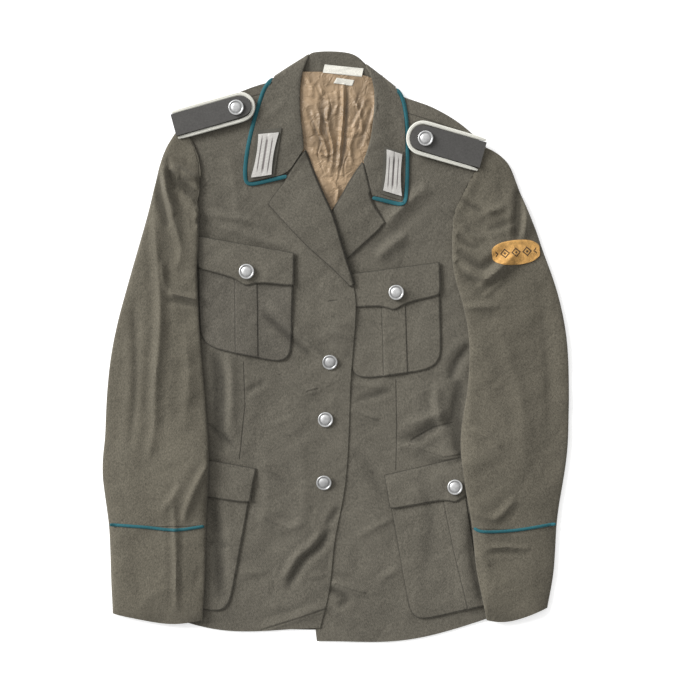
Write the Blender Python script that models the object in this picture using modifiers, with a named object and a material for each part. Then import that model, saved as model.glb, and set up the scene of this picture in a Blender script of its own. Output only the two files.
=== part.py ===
"""Dress uniform jacket of olive grey wool, buttoned and laid flat on its back.

Lengths in the tables are millimetres, x across the chest and y from hem to collar, with
the wearer's right side at negative x.  The pieces are laid from the bottom up, and each
one rests on what lies under it.
"""
import math

import bmesh
import bpy
import numpy as np
from mathutils import Vector
from mathutils.bvhtree import BVHTree

for leftover in list(bpy.data.objects):
    bpy.data.objects.remove(leftover, do_unlink=True)

MM = 0.001
GAP = 0.3            # free space between neighbouring pieces
CLOTH = 1.2          # wool cloth with its interlining
DOUBLE = 1.6         # lapels and flaps, two layers pressed flat
LINING = 1.0
LABEL = 0.6
FELT = 1.0

jacket = bpy.data.collections.new("dress_uniform_jacket")
bpy.context.scene.collection.children.link(jacket)


def make_material(name, colour, roughness, metallic=0.0):
    material = bpy.data.materials.new(name)
    material.use_nodes = True
    shader = material.node_tree.nodes["Principled BSDF"]
    shader.inputs["Base Color"].default_value = (*colour, 1.0)
    shader.inputs["Roughness"].default_value = roughness
    shader.inputs["Metallic"].default_value = metallic
    material.diffuse_color = (*colour, 1.0)
    return material


WOOL = (0.135, 0.127, 0.102)
TEAL = (0.008, 0.115, 0.130)
SATIN = (0.355, 0.235, 0.140)
WHITE = (0.700, 0.690, 0.640)
DARK_FELT = (0.080, 0.080, 0.075)
BRAID = (0.560, 0.530, 0.520)
OCHRE = (0.560, 0.300, 0.090)
ALUMINIUM = (0.600, 0.600, 0.620)


def through(points, steps):
    """A smooth curve through the rows of a table, with as many steps for every span."""
    points = np.asarray(points, float)
    ends = np.vstack([2 * points[0] - points[1], points, 2 * points[-1] - points[-2]])
    t = np.linspace(0, 1, steps, endpoint=False)[:, None]
    spans = [
        0.5 * (2 * b + (c - a) * t + (2 * a - 5 * b + 4 * c - d) * t**2
               + (3 * b - a - 3 * c + d) * t**3)
        for a, b, c, d in zip(ends, ends[1:], ends[2:], ends[3:])
    ]
    return np.vstack(spans + [points[-1:]])


def even_steps(points, count):
    """Points at equal distances along the smooth curve through the given ones."""
    curve = through(points, 12)
    run = np.concatenate([[0], np.cumsum(np.linalg.norm(np.diff(curve, axis=0), axis=1))])
    marks = np.linspace(0, run[-1], count + 1)
    return np.column_stack([np.interp(marks, run, curve[:, k]) for k in range(curve.shape[1])])


def cut_panel(rows, across, along):
    """The plan of a panel: each table row is a line across it, joined to the next."""
    lines = np.array([even_steps(row, across).ravel() for row in rows])
    return even_steps(lines, along).reshape(along + 1, across + 1, 2)


def quad_plan(corners, across, down):
    """The plan of a four-cornered piece; across runs from -1 to 1, down from 0 to 1."""
    top_left, top_right, low_right, low_left = (np.array(c, float) for c in corners)
    a = (np.asarray(across, float)[..., None] + 1) / 2
    d = np.asarray(down, float)[..., None]
    return ((top_left * (1 - a) + top_right * a) * (1 - d)
            + (low_left * (1 - a) + low_right * a) * d)


laid = []            # search tree and plan bounds of every piece laid so far


def top_at(x, y):
    """Height of the highest piece at one place of the plan, in mm."""
    best = 0.0
    for tree, low, high in laid:
        if low[0] <= x <= high[0] and low[1] <= y <= high[1]:
            hit = tree.ray_cast(Vector((x * MM, y * MM, 0.2)), Vector((0, 0, -1)))[0]
            if hit is not None:
                best = max(best, hit.z / MM)
    return best


def resting(plan, samples=6):
    """Lowest heights at which a sheet with this plan clears everything under it."""
    height = np.zeros(plan.shape[:2])
    steps = np.linspace(0, 1, samples)
    for i in range(plan.shape[0] - 1):
        for j in range(plan.shape[1] - 1):
            a, b = plan[i, j], plan[i, j + 1]
            c, d = plan[i + 1, j + 1], plan[i + 1, j]
            top = max(
                top_at(*((a * (1 - s) + b * s) * (1 - t) + (d * (1 - s) + c * s) * t))
                for s in steps for t in steps
            )
            if top > 0:
                patch = height[i:i + 2, j:j + 2]
                np.maximum(patch, top + GAP, out=patch)
    return height


def fold_relief(plan, folds):
    """Height that soft folds add: each row is a line, its height and its half width."""
    x, y = plan[..., 0], plan[..., 1]
    relief = np.zeros_like(x)
    for x0, y0, x1, y1, rise, width in folds:
        dx, dy = x1 - x0, y1 - y0
        t = np.clip(((x - x0) * dx + (y - y0) * dy) / (dx * dx + dy * dy), 0, 1)
        away = np.hypot(x - x0 - t * dx, y - y0 - t * dy)
        relief = np.maximum(relief, rise * np.exp(-((away / width) ** 2)))
    return relief


def rise_inside(plan, rise, margin):
    """A low even swelling that starts at the edges of a sheet."""
    rows, columns = plan.shape[:2]
    i = np.minimum(np.arange(rows), np.arange(rows)[::-1])[:, None]
    j = np.minimum(np.arange(columns), np.arange(columns)[::-1])[None, :]
    return rise * np.clip(np.minimum(i, j) / margin, 0, 1)


def put_down(name, mesh, material):
    """Makes the object, and keeps it for the pieces that rest on it."""
    piece = bpy.data.objects.new(name, mesh)
    mesh.materials.append(material)
    jacket.objects.link(piece)
    return piece


def now_laid(piece):
    bpy.context.view_layer.update()
    depsgraph = bpy.context.evaluated_depsgraph_get()
    tree = BVHTree.FromObject(piece, depsgraph)
    corners = np.array([v.co for v in piece.evaluated_get(depsgraph).to_mesh().vertices])
    # search trees of objects are in their own space, and every sheet has its origin at 0
    laid.append((tree, corners.min(axis=0) / MM, corners.max(axis=0) / MM))


def grid_sheet(name, points, material, thickness, offset, tube=False):
    """A grid moved onto a table of points and thickened into a piece of cloth."""
    rows, columns = points.shape[:2]
    mesh = bpy.data.meshes.new(name)
    work = bmesh.new()
    bmesh.ops.create_grid(work, x_segments=columns - 1, y_segments=rows - 1, size=1.0)
    order = sorted(work.verts, key=lambda v: (round(v.co.y, 4), round(v.co.x, 4)))
    for vert, point in zip(order, points.reshape(-1, 3)):
        vert.co = Vector(point) * MM
    if tube:
        bmesh.ops.remove_doubles(work, verts=work.verts, dist=1e-6)
    bmesh.ops.recalc_face_normals(work, faces=work.faces)
    if not tube and sum(f.normal.z * f.calc_area() for f in work.faces) < 0:
        bmesh.ops.reverse_faces(work, faces=work.faces)
    work.to_mesh(mesh)
    work.free()
    piece = put_down(name, mesh, material)
    wall = piece.modifiers.new("cloth", "SOLIDIFY")
    wall.thickness = thickness * MM
    wall.offset = offset
    now_laid(piece)
    return piece


def lay_sheet(name, plan, thickness, material, relief=0.0):
    """A flat piece: its plan rests on what lies below, and folds lift it."""
    height = resting(plan) + relief
    return grid_sheet(name, np.dstack([plan, height]), material, thickness, 1.0)


def cord(name, path, width, height, material, sides=8):
    """A cord along a path, wider than high, closed at both ends."""
    path = np.asarray(path, float)
    along = np.gradient(path, axis=0)
    along /= np.linalg.norm(along, axis=1)[:, None]
    side = np.cross(along, (0, 0, 1.0))
    side /= np.linalg.norm(side, axis=1)[:, None]
    up = np.cross(side, along)
    mesh = bpy.data.meshes.new(name)
    work = bmesh.new()
    rings = []
    for point, s, u in zip(path, side, up):
        ring = []
        for k in range(sides):
            turn = 2 * math.pi * (k + 0.5) / sides
            spot = point + s * math.cos(turn) * width / 2 + u * math.sin(turn) * height / 2
            ring.append(work.verts.new(Vector(spot) * MM))
        rings.append(ring)
    for one, two in zip(rings, rings[1:]):
        for k in range(sides):
            work.faces.new((one[k], one[(k + 1) % sides], two[(k + 1) % sides], two[k]))
    work.faces.new(rings[0])
    work.faces.new(rings[-1])
    bmesh.ops.recalc_face_normals(work, faces=work.faces)
    work.to_mesh(mesh)
    work.free()
    piece = put_down(name, mesh, material)
    now_laid(piece)
    return piece


# Back panel.  Rows from the hem up, points from the wearer's right to the left.
BACK = [
    [(-268, -313), (-147, -345), (-8, -352), (120, -346), (251, -316)],
    [(-263, -235), (-7, -262), (250, -235)],
    [(-254, -155), (-6, -172), (243, -155)],
    [(-236, -78), (-5, -86), (224, -78)],
    [(-230, -5), (-4, -7), (220, -5)],
    [(-235, 65), (-3, 62), (226, 60)],
    [(-239, 120), (-2, 112), (233, 94)],
    [(-205, 132), (-1, 144), (198, 108)],
    [(-183, 156), (0, 176), (162, 122)],
    [(-171, 192), (1, 214), (146, 148)],
    [(-170, 228), (1, 254), (152, 184)],
    [(-180, 256), (0, 294), (169, 215)],
    [(-191, 276), (-164, 300), (-126, 317), (-94, 329), (-80, 332), (-62, 337), (-40, 341),
     (0, 340), (30, 337), (50, 332), (58, 327), (72, 317), (84, 313), (99, 308), (121, 300),
     (155, 280), (187, 251)],
]
NECK_LIFT = 2.2      # the back passes over the collar that is turned under it
NECK_LIFT_FROM, NECK_LIFT_TO = 268, 300

plan = cut_panel(BACK, across=17, along=18)
lift = np.clip((plan[..., 1] - NECK_LIFT_FROM) / (NECK_LIFT_TO - NECK_LIFT_FROM), 0, 1)
lift = lift * np.clip((150 - abs(plan[..., 0])) / 45, 0, 1)
height = NECK_LIFT * lift
grid_sheet("back", np.dstack([plan, height]), make_material("back_wool", WOOL, 0.9), CLOTH, 1.0)


# Lining, which shows in the neck only; its edges run under the fronts and the collar.
LINING_ROWS = [
    [(-22, 149), (10, 156)],
    [(-35, 179), (20, 185)],
    [(-42, 212), (31, 215)],
    [(-49, 247), (42, 247)],
    [(-51, 279), (52, 279)],
    [(-51, 310), (54, 310)],
    [(-48, 330), (51, 329)],
    [(-41, 344.5), (-16, 344.5), (5, 343), (35, 340), (47, 336)],
]
LINING_FOLDS = [
    (-36, 330, -20, 288, 1.4, 5), (-24, 334, -8, 292, 1.0, 4), (-38, 268, -24, 222, 1.2, 6),
    (14, 322, 30, 286, 1.2, 5), (24, 270, 6, 222, 1.2, 6), (36, 300, 38, 262, 1.0, 5),
    (-12, 262, -14, 196, 1.0, 6), (-4, 330, 2, 300, 0.8, 5),
]
PLEAT_X, PLEAT_STEP = 7.5, 0.8

plan = cut_panel(LINING_ROWS, across=10, along=14)
pleat = PLEAT_STEP * (plan[..., 0] < PLEAT_X)
lay_sheet("lining", plan, LINING, make_material("lining_satin", SATIN, 0.4),
          relief=(fold_relief(plan, LINING_FOLDS) + pleat) * rise_inside(plan, 1.0, 2))


# Fronts.  The left front lies under the right one; rows from the hem up.
FRONT_LEFT = [
    [(-24, -366), (100, -363), (252, -317)],
    [(-30, -305), (103, -312), (251, -270)],
    [(-33, -245), (105, -246), (249, -215)],
    [(-36, -180), (104, -177), (243, -155)],
    [(-38, -110), (96, -106), (229, -98)],
    [(-39, -45), (91, -42), (220, -38)],
    [(-39, 15), (91, 18), (221, 20)],
    [(-36, 72), (95, 68), (228, 58)],
    [(-25, 118), (104, 108), (233, 94)],
    [(-15, 148), (98, 130), (198, 108)],
    [(-3, 171), (88, 152), (164, 120)],
    [(9, 189), (84, 168), (147, 135)],
    [(19, 208), (85, 190), (145, 156)],
    [(33, 230), (94, 212), (150, 177)],
    [(48, 246), (104, 229), (158, 192)],
    [(64, 263), (112, 247), (168, 210)],
    [(71, 290), (118, 270), (178, 228)],
    [(58, 327), (72, 317), (84, 313), (99, 308), (121, 300), (155, 280), (187, 251)],
]
FRONT_LEFT_FOLDS = [
    (85, 140, 52, 114, 1.6, 13), (111, 200, 62, 155, 1.6, 14), (80, -115, 149, -124, 2.0, 11),
    (158, 10, 135, -30, 2.0, 14), (-4, -329, 55, -355, 1.6, 12), (30, -234, 72, -212, 1.4, 12),
    (110, -70, 135, 20, 1.2, 30),
]
FRONT_RIGHT = [
    [(-269, -314), (-147, -352), (-20, -349)],
    [(-266, -275), (-138, -303), (-8, -300)],
    [(-262, -215), (-132, -234), (-2, -240)],
    [(-254, -155), (-121, -168), (11, -175)],
    [(-240, -95), (-112, -102), (16, -105)],
    [(-231, -35), (-106, -38), (18, -40)],
    [(-232, 25), (-104, 22), (23, 20)],
    [(-236, 80), (-106, 75), (24, 70)],
    [(-239, 122), (-110, 114), (10, 108)],
    [(-205, 133), (-101, 137), (1, 142)],
    [(-184, 154), (-95, 161), (-7, 168)],
    [(-173, 180), (-95, 186), (-17, 191)],
    [(-169, 212), (-99, 216), (-29, 220)],
    [(-171, 235), (-105, 240), (-40, 246)],
    [(-175, 246), (-113, 254), (-54, 260)],
    [(-180, 257), (-120, 272), (-68, 283)],
    [(-186, 267), (-125, 292), (-70, 312)],
    [(-191, 276), (-164, 300), (-126, 317), (-94, 329), (-80, 332), (-62, 337)],
]
FRONT_RIGHT_FOLDS = [
    (-70, 56, -7, 6, 2.0, 14), (-85, 29, -22, -25, 1.6, 14), (-30, -215, -70, -284, 2.2, 16),
    (-5, -250, -45, -315, 1.6, 14), (-82, -340, -20, -315, 1.2, 10),
    (-151, 172, -70, 145, 1.6, 15), (-97, -215, -45, -234, 1.4, 12),
    (-150, -60, -70, 60, 1.0, 40),
]
FRONT_SWELL = 0.8    # the body of each front stands a little off the back
FRONT_CELLS = dict(across=12, along=30)

plan = cut_panel(FRONT_LEFT, **FRONT_CELLS)
lay_sheet("front_left", plan, CLOTH, make_material("front_left_wool", WOOL, 0.9),
          relief=np.minimum(fold_relief(plan, FRONT_LEFT_FOLDS), rise_inside(plan, 2.2, 2))
          + rise_inside(plan, FRONT_SWELL, 3))


# Patch pockets and their flaps: four corners, upper ones first, clockwise as worn.
POCKETS = {
    "chest_left": ((15.6, 92), (128, 107), (132, -25), (18, -41)),
    "chest_right": ((-172.5, 140), (-53, 118.5), (-55.5, -21), (-169.5, 2.5)),
    "hip_left": ((61.6, -158), (222.5, -120.6), (243, -307), (94, -343)),
    "hip_right": ((-241, -124), (-101, -150), (-134, -332), (-255, -309)),
}
PLEAT_MIDDLE = {"hip_right": -0.2}   # the others have the pleat at the middle
PLEAT_HALF = 15.0
PLEAT_RISE = 0.9
CORNER = 22.0
POCKET_FROM = 0.09   # the top edge lies under the flap
FLAP_DEPTHS = {      # depth at the end, beside the point and at the point
    "chest": (42.0, 45.0, 53.0),
    "hip": (44.0, 46.5, 54.0),
}


def lay_pocket(place):
    corners = POCKETS[place]
    middle = PLEAT_MIDDLE.get(place, 0.0)
    half = math.dist(corners[0], corners[1]) / 2
    deep = math.dist(corners[1], corners[2])
    fold, lip = PLEAT_HALF / half, 0.9 / half
    across = np.array([
        -1, -1 + 4 / half, -1 + 11 / half, -1 + 24 / half, middle - fold - lip,
        middle - fold + lip, middle, middle + fold - lip, middle + fold + lip,
        1 - 24 / half, 1 - 11 / half, 1 - 4 / half, 1,
    ])
    inset = np.clip(CORNER - (1 - abs(across)) * half, 0, CORNER)
    lost = CORNER - np.sqrt(CORNER**2 - inset**2 * 0.98)
    depth = 1 - lost / deep
    rows = np.linspace(0, 1, 5)[::-1, None]
    down = POCKET_FROM + rows * (depth - POCKET_FROM)
    plan = quad_plan(corners, np.broadcast_to(across, down.shape), down)
    pleat = PLEAT_RISE * (abs(across - middle) < fold)[None, :] * np.ones_like(down)
    lay_sheet("pocket_" + place, plan, CLOTH, make_material("pocket_wool_" + place, WOOL, 0.9),
              relief=pleat + rise_inside(plan, 0.5, 2))


def lay_flap(place):
    corners = POCKETS[place]
    end, beside, point = FLAP_DEPTHS[place.split("_")[0]]
    middle = PLEAT_MIDDLE.get(place, 0.0)
    half = math.dist(corners[0], corners[1]) / 2
    deep = math.dist(corners[1], corners[2])
    steps = [  # place across, depth of the lower edge
        (-1, end - 3), (-1 + 4 / half, end), (-0.62, end + 1), (middle - 16 / half, beside),
        (middle - 8 / half, (beside + point) / 2), (middle, point),
        (middle + 8 / half, (beside + point) / 2), (middle + 16 / half, beside),
        (0.62, end + 1), (1 - 4 / half, end), (1, end - 3),
    ]
    across = np.array([s[0] for s in steps])
    depth = np.array([s[1] for s in steps]) / deep
    rows = np.linspace(0, 1, 4)[::-1, None]
    plan = quad_plan(corners, np.broadcast_to(across * 1.02, (4, len(steps))), rows * depth)
    lay_sheet("flap_" + place, plan, DOUBLE, make_material("flap_wool_" + place, WOOL, 0.9),
              relief=rise_inside(plan, 0.5, 1))


lay_pocket("chest_left")
lay_flap("chest_left")
lay_pocket("hip_left")
lay_flap("hip_left")


# Lapels: the facings turned over along the roll line, rows from the break up to the gorge.
LAPEL_LEFT = [       # roll line, outer edge
    [(-31, 92), (-22, 86)],
    [(-26, 110), (-6, 95)],
    [(-20, 131), (11, 108)],
    [(-12, 152), (27.5, 123)],
    [(-2, 171), (44, 138)],
    [(9, 188), (60, 154)],
    [(16, 202), (58, 162)],
    [(25, 216), (50, 173)],
    [(33, 229), (44, 184)],
]
LAPEL_RIGHT = [      # roll line, outer edge
    [(21.6, 78), (17.5, 76)],
    [(15.6, 96), (-1, 95)],
    [(9.4, 115), (-22.5, 114)],
    [(3, 137), (-41, 131)],
    [(-4.4, 162), (-62.5, 154)],
    [(-13, 181), (-79, 172)],
    [(-20.6, 197), (-85, 180)],
    [(-30, 220), (-74, 195)],
    [(-38.7, 244), (-59.4, 213)],
]
LAPEL_SOFT = 1.4     # how far the lapel stands off the front near its roll line
ROLL_STEPS = ((0.7, 0.2), (2.0, 1.5))   # how far out and down the rolled edge goes


def lay_lapel(name, rows):
    plan = cut_panel(rows, across=4, along=12)
    t = np.linspace(0, 1, plan.shape[1])[None, :]
    height = resting(plan) + LAPEL_SOFT * np.exp(-((t - 0.22) / 0.22) ** 2)
    outward = plan[:, 0] - plan[:, 1]
    outward /= np.linalg.norm(outward, axis=1)[:, None]
    line, level = plan[:, :1], height[:, :1]
    for out, down in ROLL_STEPS:
        plan = np.hstack([line + outward[:, None] * out, plan])
        height = np.hstack([level - down, height])
    grid_sheet(name, np.dstack([plan, height]), make_material(name + "_wool", WOOL, 0.9),
               DOUBLE, 1.0)


lay_lapel("lapel_left", LAPEL_LEFT)

plan = cut_panel(FRONT_RIGHT, **FRONT_CELLS)
lay_sheet("front_right", plan, CLOTH, make_material("front_right_wool", WOOL, 0.9),
          relief=np.minimum(fold_relief(plan, FRONT_RIGHT_FOLDS), rise_inside(plan, 2.2, 2))
          + rise_inside(plan, FRONT_SWELL, 3))
lay_lapel("lapel_right", LAPEL_RIGHT)

lay_pocket("chest_right")
lay_flap("chest_right")
lay_pocket("hip_right")
lay_flap("hip_right")


# Collar: one sheet of stand and fall, folded at the roll line.  It lies on the fronts at
# both sides, turns over at the neck corners and runs under the back between them.
COLLAR = [           # neck seam, roll line, middle of the fall, edge of the fall, side
    ((-44, 253.5), (-40, 248.5), (-60, 217), (-109, 206), "top"),
    ((-55, 264.5), (-41, 267), (-72, 240), (-111, 221), "top"),
    ((-66, 284), (-44, 289), (-77, 267), (-107.5, 248.5), "top"),
    ((-68, 308), (-45, 310), (-74, 294), (-101, 277.5), "top"),
    ((-64, 328), (-44, 330), (-70, 317), (-94, 302.5), "top"),
    ((-59, 343), (-41, 347), (-64, 337), (-86.5, 324), "top"),
    ((-56, 347), (-34, 367.5), (-56, 353.5), (-77.5, 339.5), "fold"),
    ((-46, 343.5), (-31, 369), (-46, 348), (-63, 329), "under"),
    ((-26, 343.5), (-19, 371), (-29, 346), (-41, 321), "under"),
    ((1, 342), (1, 371), (1, 344), (1, 317), "under"),
    ((27, 339), (17.5, 369), (26, 343), (37, 316), "under"),
    ((47, 336), (27.5, 364), (44, 341), (60, 317), "under"),
    ((61, 343), (38, 355), (57, 340.5), (75, 326), "fold"),
    ((58.5, 334.5), (43, 341), (63, 327), (80, 313), "top"),
    ((60.5, 324), (47.5, 325), (67, 311), (84, 297), "top"),
    ((65, 305), (48, 305), (69, 292), (86, 277), "top"),
    ((67, 283), (46, 284), (68, 269), (86.6, 252.5), "top"),
    ((62, 266), (44, 265), (67, 246), (86.6, 227.5), "top"),
    ((52, 254.5), (40, 249), (58, 221), (86, 203), "top"),
    ((38, 241), (34.5, 233), (45, 190.5), (83, 181), "top"),
]
HALF_CLOTH = CLOTH / 2
UNDER_FALL = HALF_CLOTH               # heights of the middle of the cloth
UNDER_STAND = UNDER_FALL + CLOTH + GAP
LAYER = CLOTH + 0.5                   # from the stand up to the fall above it
TURN = 2.0                            # the rolled edge starts this far from the roll line
FALL_FOLD_OUT, STAND_FOLD_OUT = 1.6, 4.2
BODY_MIDDLE = np.array((0.0, 250.0))


def towards(start, end, length):
    """A step from each start towards its end, never longer than a third of the way."""
    way = end - start
    span = np.linalg.norm(way, axis=-1, keepdims=True)
    return start + way / span * np.minimum(length, span / 3)


neck, roll, middle, edge = (np.array([row[k] for row in COLLAR], float) for k in range(4))
side = [row[4] for row in COLLAR]
columns = [neck, (neck + roll) / 2, towards(roll, neck, TURN), roll,
           towards(roll, middle, TURN), (roll + middle) / 2, middle, (middle + edge) / 2, edge]
plan = np.stack(columns, axis=1)
STAND, ROLL, FALL = slice(0, 3), 3, slice(4, 9)

# every fold row is given a row just above it and one just below it
rows, sides = [], []
for line, where in zip(plan, side):
    if where != "fold":
        rows.append(line)
        sides.append(where)
        continue
    way = line[-1] - line[ROLL]
    inward = np.array((-way[1], way[0])) / np.linalg.norm(way)
    if inward @ (BODY_MIDDLE - line[ROLL]) < 0:
        inward = -inward
    near = line.copy()
    near[FALL] += inward * FALL_FOLD_OUT
    near[ROLL] += inward * FALL_FOLD_OUT
    near[STAND] += inward * (STAND_FOLD_OUT + 1.4)
    tip = line.copy()
    tip[STAND] += inward * STAND_FOLD_OUT
    before, after = ("top", "under") if sides[-1] == "top" else ("under", "top")
    rows += [near, tip, near.copy()]
    sides += [before, "fold", after]
plan = np.array(rows)
height = np.zeros(plan.shape[:2])
on_top = np.array([s == "top" for s in sides])
for start, stop in ((0, 7), (len(rows) - 8, len(rows))):
    part = plan[start:stop]
    stand = resting(part[:, :4]) + HALF_CLOTH
    fall = resting(part[:, 3:]) + HALF_CLOTH
    z = np.zeros(part.shape[:2])
    z[:, :4] = stand + np.array((0.0, 0.3, 0.8, 0.0))
    z[:, ROLL] = z[:, 2] + 1.2
    z[:, 4] = np.maximum(z[:, 2] + 2.4, fall[:, 1])
    z[:, 5] = np.maximum(np.maximum(z[:, 1], z[:, 2]) + LAYER + 0.6, fall[:, 2] + 0.8)
    z[:, 6] = np.maximum(z[:, 0] + LAYER, fall[:, 3] + 0.6)
    z[:, 7] = fall[:, 4] + 0.3
    z[:, 8] = fall[:, 5]
    height[start:stop] = z
for k, where in enumerate(sides):
    if where == "under":
        height[k, STAND] = UNDER_STAND
        height[k, ROLL] = (UNDER_STAND + UNDER_FALL) / 2
        height[k, FALL] = UNDER_FALL
for k, where in enumerate(sides):
    if where == "fold":
        height[k] = (height[k - 1] + height[k + 1]) / 2
grid_sheet("collar", np.dstack([plan, height]), make_material("collar_wool", WOOL, 0.9), CLOTH, 0.0)


# Collar piping, a covered cord sewn round the edge of the fall.
PIPING, PIPING_HIGH = 3.0, 1.6
beyond = plan[:, 8] - plan[:, 7]
beyond /= np.linalg.norm(beyond, axis=1)[:, None]
step = PIPING / 2 + 3 * GAP
run = np.gradient(plan[:, 8], axis=0)
square = np.column_stack([run[:, 1], -run[:, 0]]) / np.linalg.norm(run, axis=1)[:, None]
square *= np.sign((square * beyond).sum(axis=1))[:, None]
fold_rows = [k + d for k, s in enumerate(sides) if s == "fold" for d in (-1, 0, 1)]
square[fold_rows] = beyond[fold_rows] * 1.35
line = plan[:, 8] + square * step
level = np.maximum(height[:, 8], PIPING_HIGH / 2 + 0.2)


def end_run(row, z_row):
    """The piping along the end of the collar, from the gorge out to the corner."""
    start, corner = plan[row, 6], plan[row, 8]
    way = corner - start
    down = np.array((way[1], -way[0])) / np.linalg.norm(way)
    if down[1] > 0:
        down = -down
    on = way / np.linalg.norm(way)
    away = step + GAP * 2
    return [
        (*(start + on * 2 + down * away), z_row[6]),
        (*(start + way * 0.5 + down * away), z_row[7]),
        (*(corner - on * 3 + down * away), z_row[8] + GAP),
        (*(corner + (on + down) * (away + GAP)), z_row[8] + 2 * GAP),
    ]


path = end_run(0, height[0])
path += [(*p, z) for p, z in zip(line[1:-1], level[1:-1])]
path += end_run(-1, height[-1])[::-1]
cord("collar_piping", even_steps(path, 50), PIPING, PIPING_HIGH,
     make_material("collar_piping_teal", TEAL, 0.8), sides=6)


# Collar tabs: a felt backing and a plate of plain braid with a groove down the middle.
TABS = {
    "right": (((-98, 271), (-67.5, 274), (-77, 214), (-108, 207.5)),
              ((-97, 266), (-71, 268), (-79.5, 215.5), (-105.5, 212))),
    "left": (((60, 250.5), (84, 244.5), (81.5, 184), (56, 192)),
             ((63, 247), (83, 241), (82, 189), (58, 196))),
}
BACKING_ACROSS = np.array((-1, -0.33, 0.33, 1))
BRAID_ACROSS = np.array((-1, -0.55, -0.1, 0.0, 0.1, 0.55, 1))
GROOVE = 0.35
for place, (backing, braid) in TABS.items():
    rows = np.linspace(1, 0, 7)[:, None]
    shape = (7, len(BACKING_ACROSS))
    plan = quad_plan(backing, np.broadcast_to(BACKING_ACROSS, shape), np.broadcast_to(rows, shape))
    lay_sheet("collar_tab_" + place, plan, FELT,
              make_material("tab_felt_" + place, DARK_FELT, 0.95))
    shape = (7, len(BRAID_ACROSS))
    plan = quad_plan(braid, np.broadcast_to(BRAID_ACROSS, shape), np.broadcast_to(rows, shape))
    groove = GROOVE * (abs(BRAID_ACROSS) > 0.05)[None, :] * np.ones(shape)
    lay_sheet("tab_braid_" + place, plan, FELT,
              make_material("tab_braid_" + place, BRAID, 0.6), relief=groove)


# Neck labels, plain.
LABELS = {
    "label_upper": ((-14, 354), (34.5, 349), (32, 338), (-16.5, 343.5)),
    "label_lower": ((1, 337), (23, 334), (20.5, 327), (-3, 330)),
}
for name, corners in LABELS.items():
    across = np.linspace(-1, 1, 7)
    rows = np.linspace(1, 0, 4)[:, None]
    plan = quad_plan(corners, np.broadcast_to(across, (4, 7)), np.broadcast_to(rows, (4, 7)))
    lay_sheet(name, plan, LABEL, make_material(name + "_white", WHITE, 0.7))


# Buttons: a domed aluminium cap on a short foot.  Radius and height of the outline.
BUTTON = ((0, 0), (4.2, 0), (4.4, 0.9), (8.6, 1.1), (9.7, 1.9), (8.8, 2.9), (7.6, 2.5),
          (5.0, 3.3), (0, 3.7))
BUTTON_RADIUS = 9.7
BUTTON_SIDES = 16
FLAP_BUTTONS = {"chest_left": (75, 69), "chest_right": (-111, 95), "hip_left": (148, -173),
                "hip_right": (-184, -168)}
FRONT_BUTTONS = (    # place, lean in degrees
    ("upper", (-7.5, -17), 9), ("middle", (-13, -89), 0), ("lower", (-15, -167), 8),
)


def button(name, spot, lean=0.0):
    x, y = spot
    mesh = bpy.data.meshes.new(name)
    outline = [Vector((r * MM, 0, z * MM)) for r, z in BUTTON]
    mesh.from_pydata(outline, [(k, k + 1) for k in range(len(outline) - 1)], [])
    piece = put_down(name, mesh, make_material(name + "_aluminium", ALUMINIUM, 0.35, 0.9))
    turned = piece.modifiers.new("turned", "SCREW")
    turned.steps = turned.render_steps = BUTTON_SIDES
    turned.use_merge_vertices = True
    turned.merge_threshold = 1e-5
    turned.use_normal_calculate = True
    tilt = math.radians(lean)
    level = max(
        top_at(x + r * math.cos(a), y + r * math.sin(a)) - foot - r * math.sin(a) * math.sin(tilt)
        for r, foot in ((0, 0), (2.2, 0), (4.4, 0), (6.5, 0.9), (8.6, 1.1), (BUTTON_RADIUS, 1.6))
        for a in np.linspace(0, 2 * math.pi, 16, endpoint=False)
    )
    piece.rotation_euler = (tilt, 0, 0)
    piece.location = (x * MM, y * MM, (level + GAP) * MM)
    return piece


for place, spot in FLAP_BUTTONS.items():
    lower = button("button_" + place, spot)
    if place == "hip_right":
        cap = lower.location.z / MM + BUTTON[-1][1]
for place, spot, lean in FRONT_BUTTONS:
    button("button_front_" + place, spot, lean)

# the sleeve has to clear the one button that lies under it
hidden = np.array(FLAP_BUTTONS["hip_right"])
disc = bmesh.new()
bmesh.ops.create_circle(disc, cap_ends=True, segments=12, radius=BUTTON_RADIUS * MM)
bmesh.ops.translate(disc, verts=disc.verts, vec=Vector((*hidden, cap)) * MM)
laid.append((BVHTree.FromBMesh(disc), hidden - BUTTON_RADIUS, hidden + BUTTON_RADIUS))
disc.free()


# Sleeves: tubes pressed flat.  Rows from the cuff up, from the outer to the inner edge.
SLEEVE_RIGHT = [
    [(-279, -331), (-252, -337), (-212, -344), (-189, -343), (-165.5, -339)],
    [(-281, -296), (-222, -311), (-163, -302)],
    [(-282, -259), (-222, -272), (-161.5, -265)],
    [(-284, -220), (-222, -225), (-161, -221)],
    [(-289, -185), (-159, -190)],
    [(-293, -149), (-157.5, -155)],
    [(-289, -115), (-157.5, -122)],
    [(-288, -84), (-160, -90)],
    [(-285, -37), (-162.5, -55)],
    [(-279, 6), (-166, -15)],
    [(-271, 41), (-169, 20)],
    [(-261, 77), (-170.5, 56)],
    [(-251, 112), (-172.5, 90)],
    [(-241, 147), (-171, 120)],
    [(-232, 179), (-200, 157), (-170, 141)],
    [(-226, 206), (-195, 181), (-170.5, 155)],
    [(-219, 235), (-188, 203), (-171.5, 164)],
    [(-209, 261), (-182, 222), (-173, 171)],
    [(-193.5, 278), (-183.5, 260), (-173.5, 236), (-171, 212), (-175, 178)],
]
SLEEVE_RIGHT_FOLDS = [
    (-226, 172, -220, 10, 2.2, 11), (-220, 10, -226, -96, 1.8, 11),
    (-214, 215, -194, 122, 1.8, 10), (-159, -145, -190, -215, 1.6, 11),
    (-205, 60, -171, 54, 1.6, 9),
]
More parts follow.
